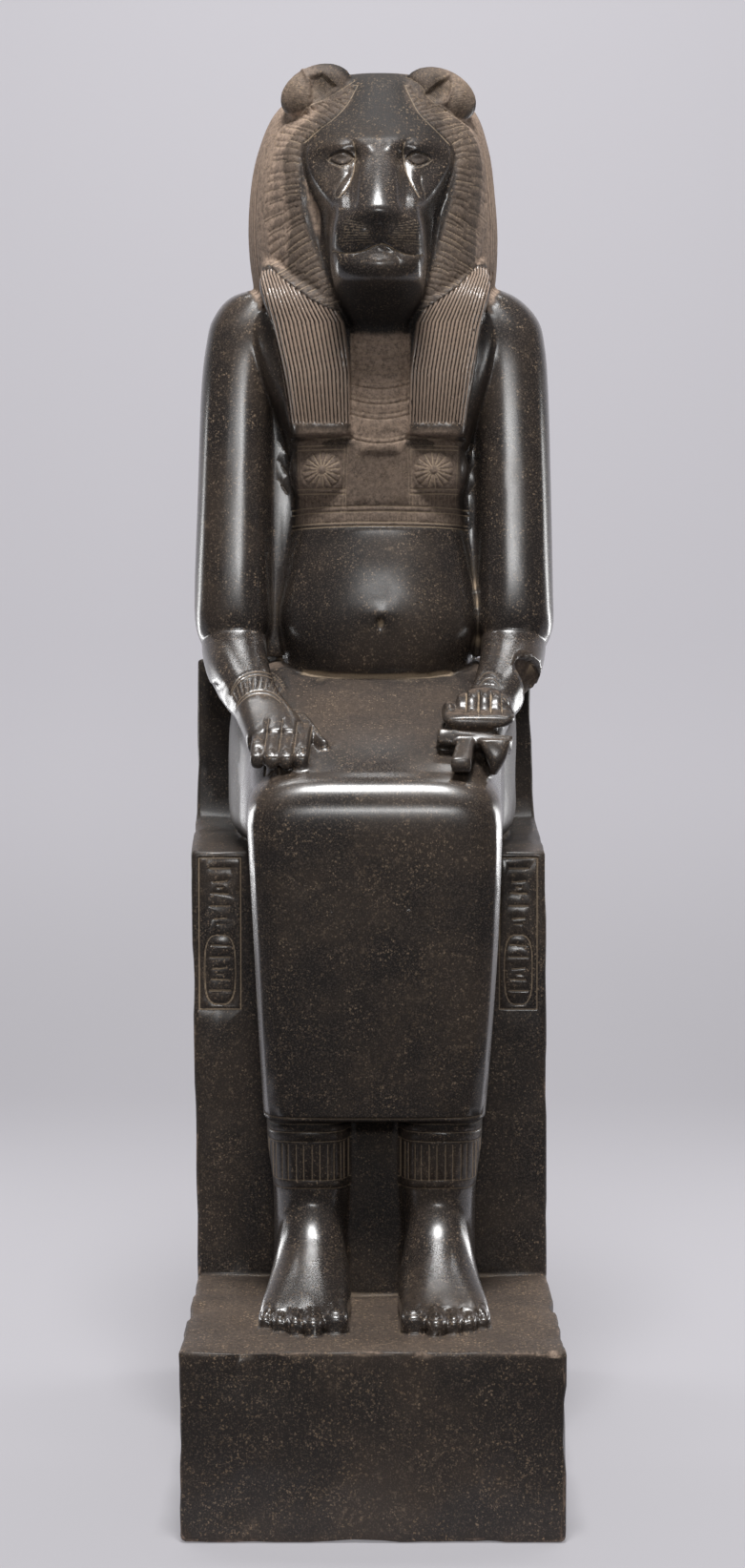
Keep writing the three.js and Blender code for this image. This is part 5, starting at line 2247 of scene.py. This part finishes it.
@dataclass(frozen=True)
class Studio:
    """Plain paper, soft lights and the camera, in metres and degrees."""

    lens: float = 66.8
    eye: tuple[float, float, float] = (0.0, -4.403, 1.275)
    dip: float = 3.37
    paper_front: float = -0.72
    paper_bend: float = 1.2
    paper_back: float = 4.4
    paper_height: float = 7.0
    paper_half_width: float = 8.0
    room: Colour = (0.8, 0.8, 0.84, 1)
    room_light: float = 0.09
    lights: tuple[Softbox, ...] = (
        Softbox("left strip", (-2.3, 1.5, 1.25), (0, -0.1, 1.15), 0.3, 2.3, 18),
        Softbox("right strip", (2.3, 1.3, 1.25), (0, -0.1, 1.15), 0.3, 2.3, 22),
        Softbox("front", (0.15, -4.6, 2.3), (0, 0, 1.3), 0.55, 0.45, 32),
        Softbox("overhead", (0.0, -1.5, 4.9), (0, -0.3, 1.1), 0.9, 1.1, 200),
        Softbox("back wall", (0.0, 1.2, 5.2), (0, 4.3, 1.6), 3.0, 0.6, 98),
    )

    def build(self) -> None:
        """Sets up the paper, the lights, the surrounding light and the camera."""
        self._paper()
        for light in self.lights:
            light.add()
        world = bpy.data.worlds.new("room")
        world.use_nodes = True
        world.node_tree.nodes["Background"].inputs["Color"].default_value = self.room
        world.node_tree.nodes["Background"].inputs["Strength"].default_value = self.room_light
        bpy.context.scene.world = world
        bpy.context.scene.view_settings.view_transform = "Standard"
        self._camera()

    def _paper(self) -> None:
        """Rolls the paper out under the statue and up behind it."""
        shape = bmesh.new()
        size, middle = self.paper_bend, self.paper_back - self.paper_bend
        bend = [(middle + size * math.sin(a), size - size * math.cos(a)) for a in spread(0, math.pi / 2, 16)]
        profile = [(self.paper_front, 0.0), *bend, (self.paper_back, self.paper_height)]
        row = [shape.verts.new((-self.paper_half_width, y, z)) for y, z in profile]
        line = [shape.edges.new(pair) for pair in zip(row[:-1], row[1:])]
        drawn = bmesh.ops.extrude_edge_only(shape, edges=line)
        moved = [item for item in drawn["geom"] if isinstance(item, bmesh.types.BMVert)]
        bmesh.ops.translate(shape, vec=(2 * self.paper_half_width, 0, 0), verts=moved)
        bmesh.ops.recalc_face_normals(shape, faces=shape.faces)
        shape.normal_update()
        if sum(face.normal.z for face in shape.faces) < 0:
            bmesh.ops.reverse_faces(shape, faces=shape.faces)
        mesh = bpy.data.meshes.new("paper")
        shape.to_mesh(mesh)
        shape.free()
        mesh.shade_smooth()
        mesh.materials.append(Paint().material())
        paper = bpy.data.objects.new("paper", mesh)
        bpy.context.scene.collection.objects.link(paper)
        paper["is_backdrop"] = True

    def _camera(self) -> None:
        """Stands the camera in front, a little above the middle, looking slightly down."""
        data = bpy.data.cameras.new("camera")
        data.lens = self.lens
        data.sensor_width = 36.0
        camera = bpy.data.objects.new("camera", data)
        camera.location = self.eye
        camera.rotation_euler = (math.radians(90 - self.dip), 0, 0)
        bpy.context.scene.collection.objects.link(camera)
        bpy.context.scene.camera = camera


BOX = tuple(tuple(corner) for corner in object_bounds())


def main() -> None:
    """Builds the statue and its studio."""
    logging.basicConfig(level=logging.INFO, format="%(message)s")
    Statue().build()
    Studio().build()


if __name__ == "__main__":
    main()
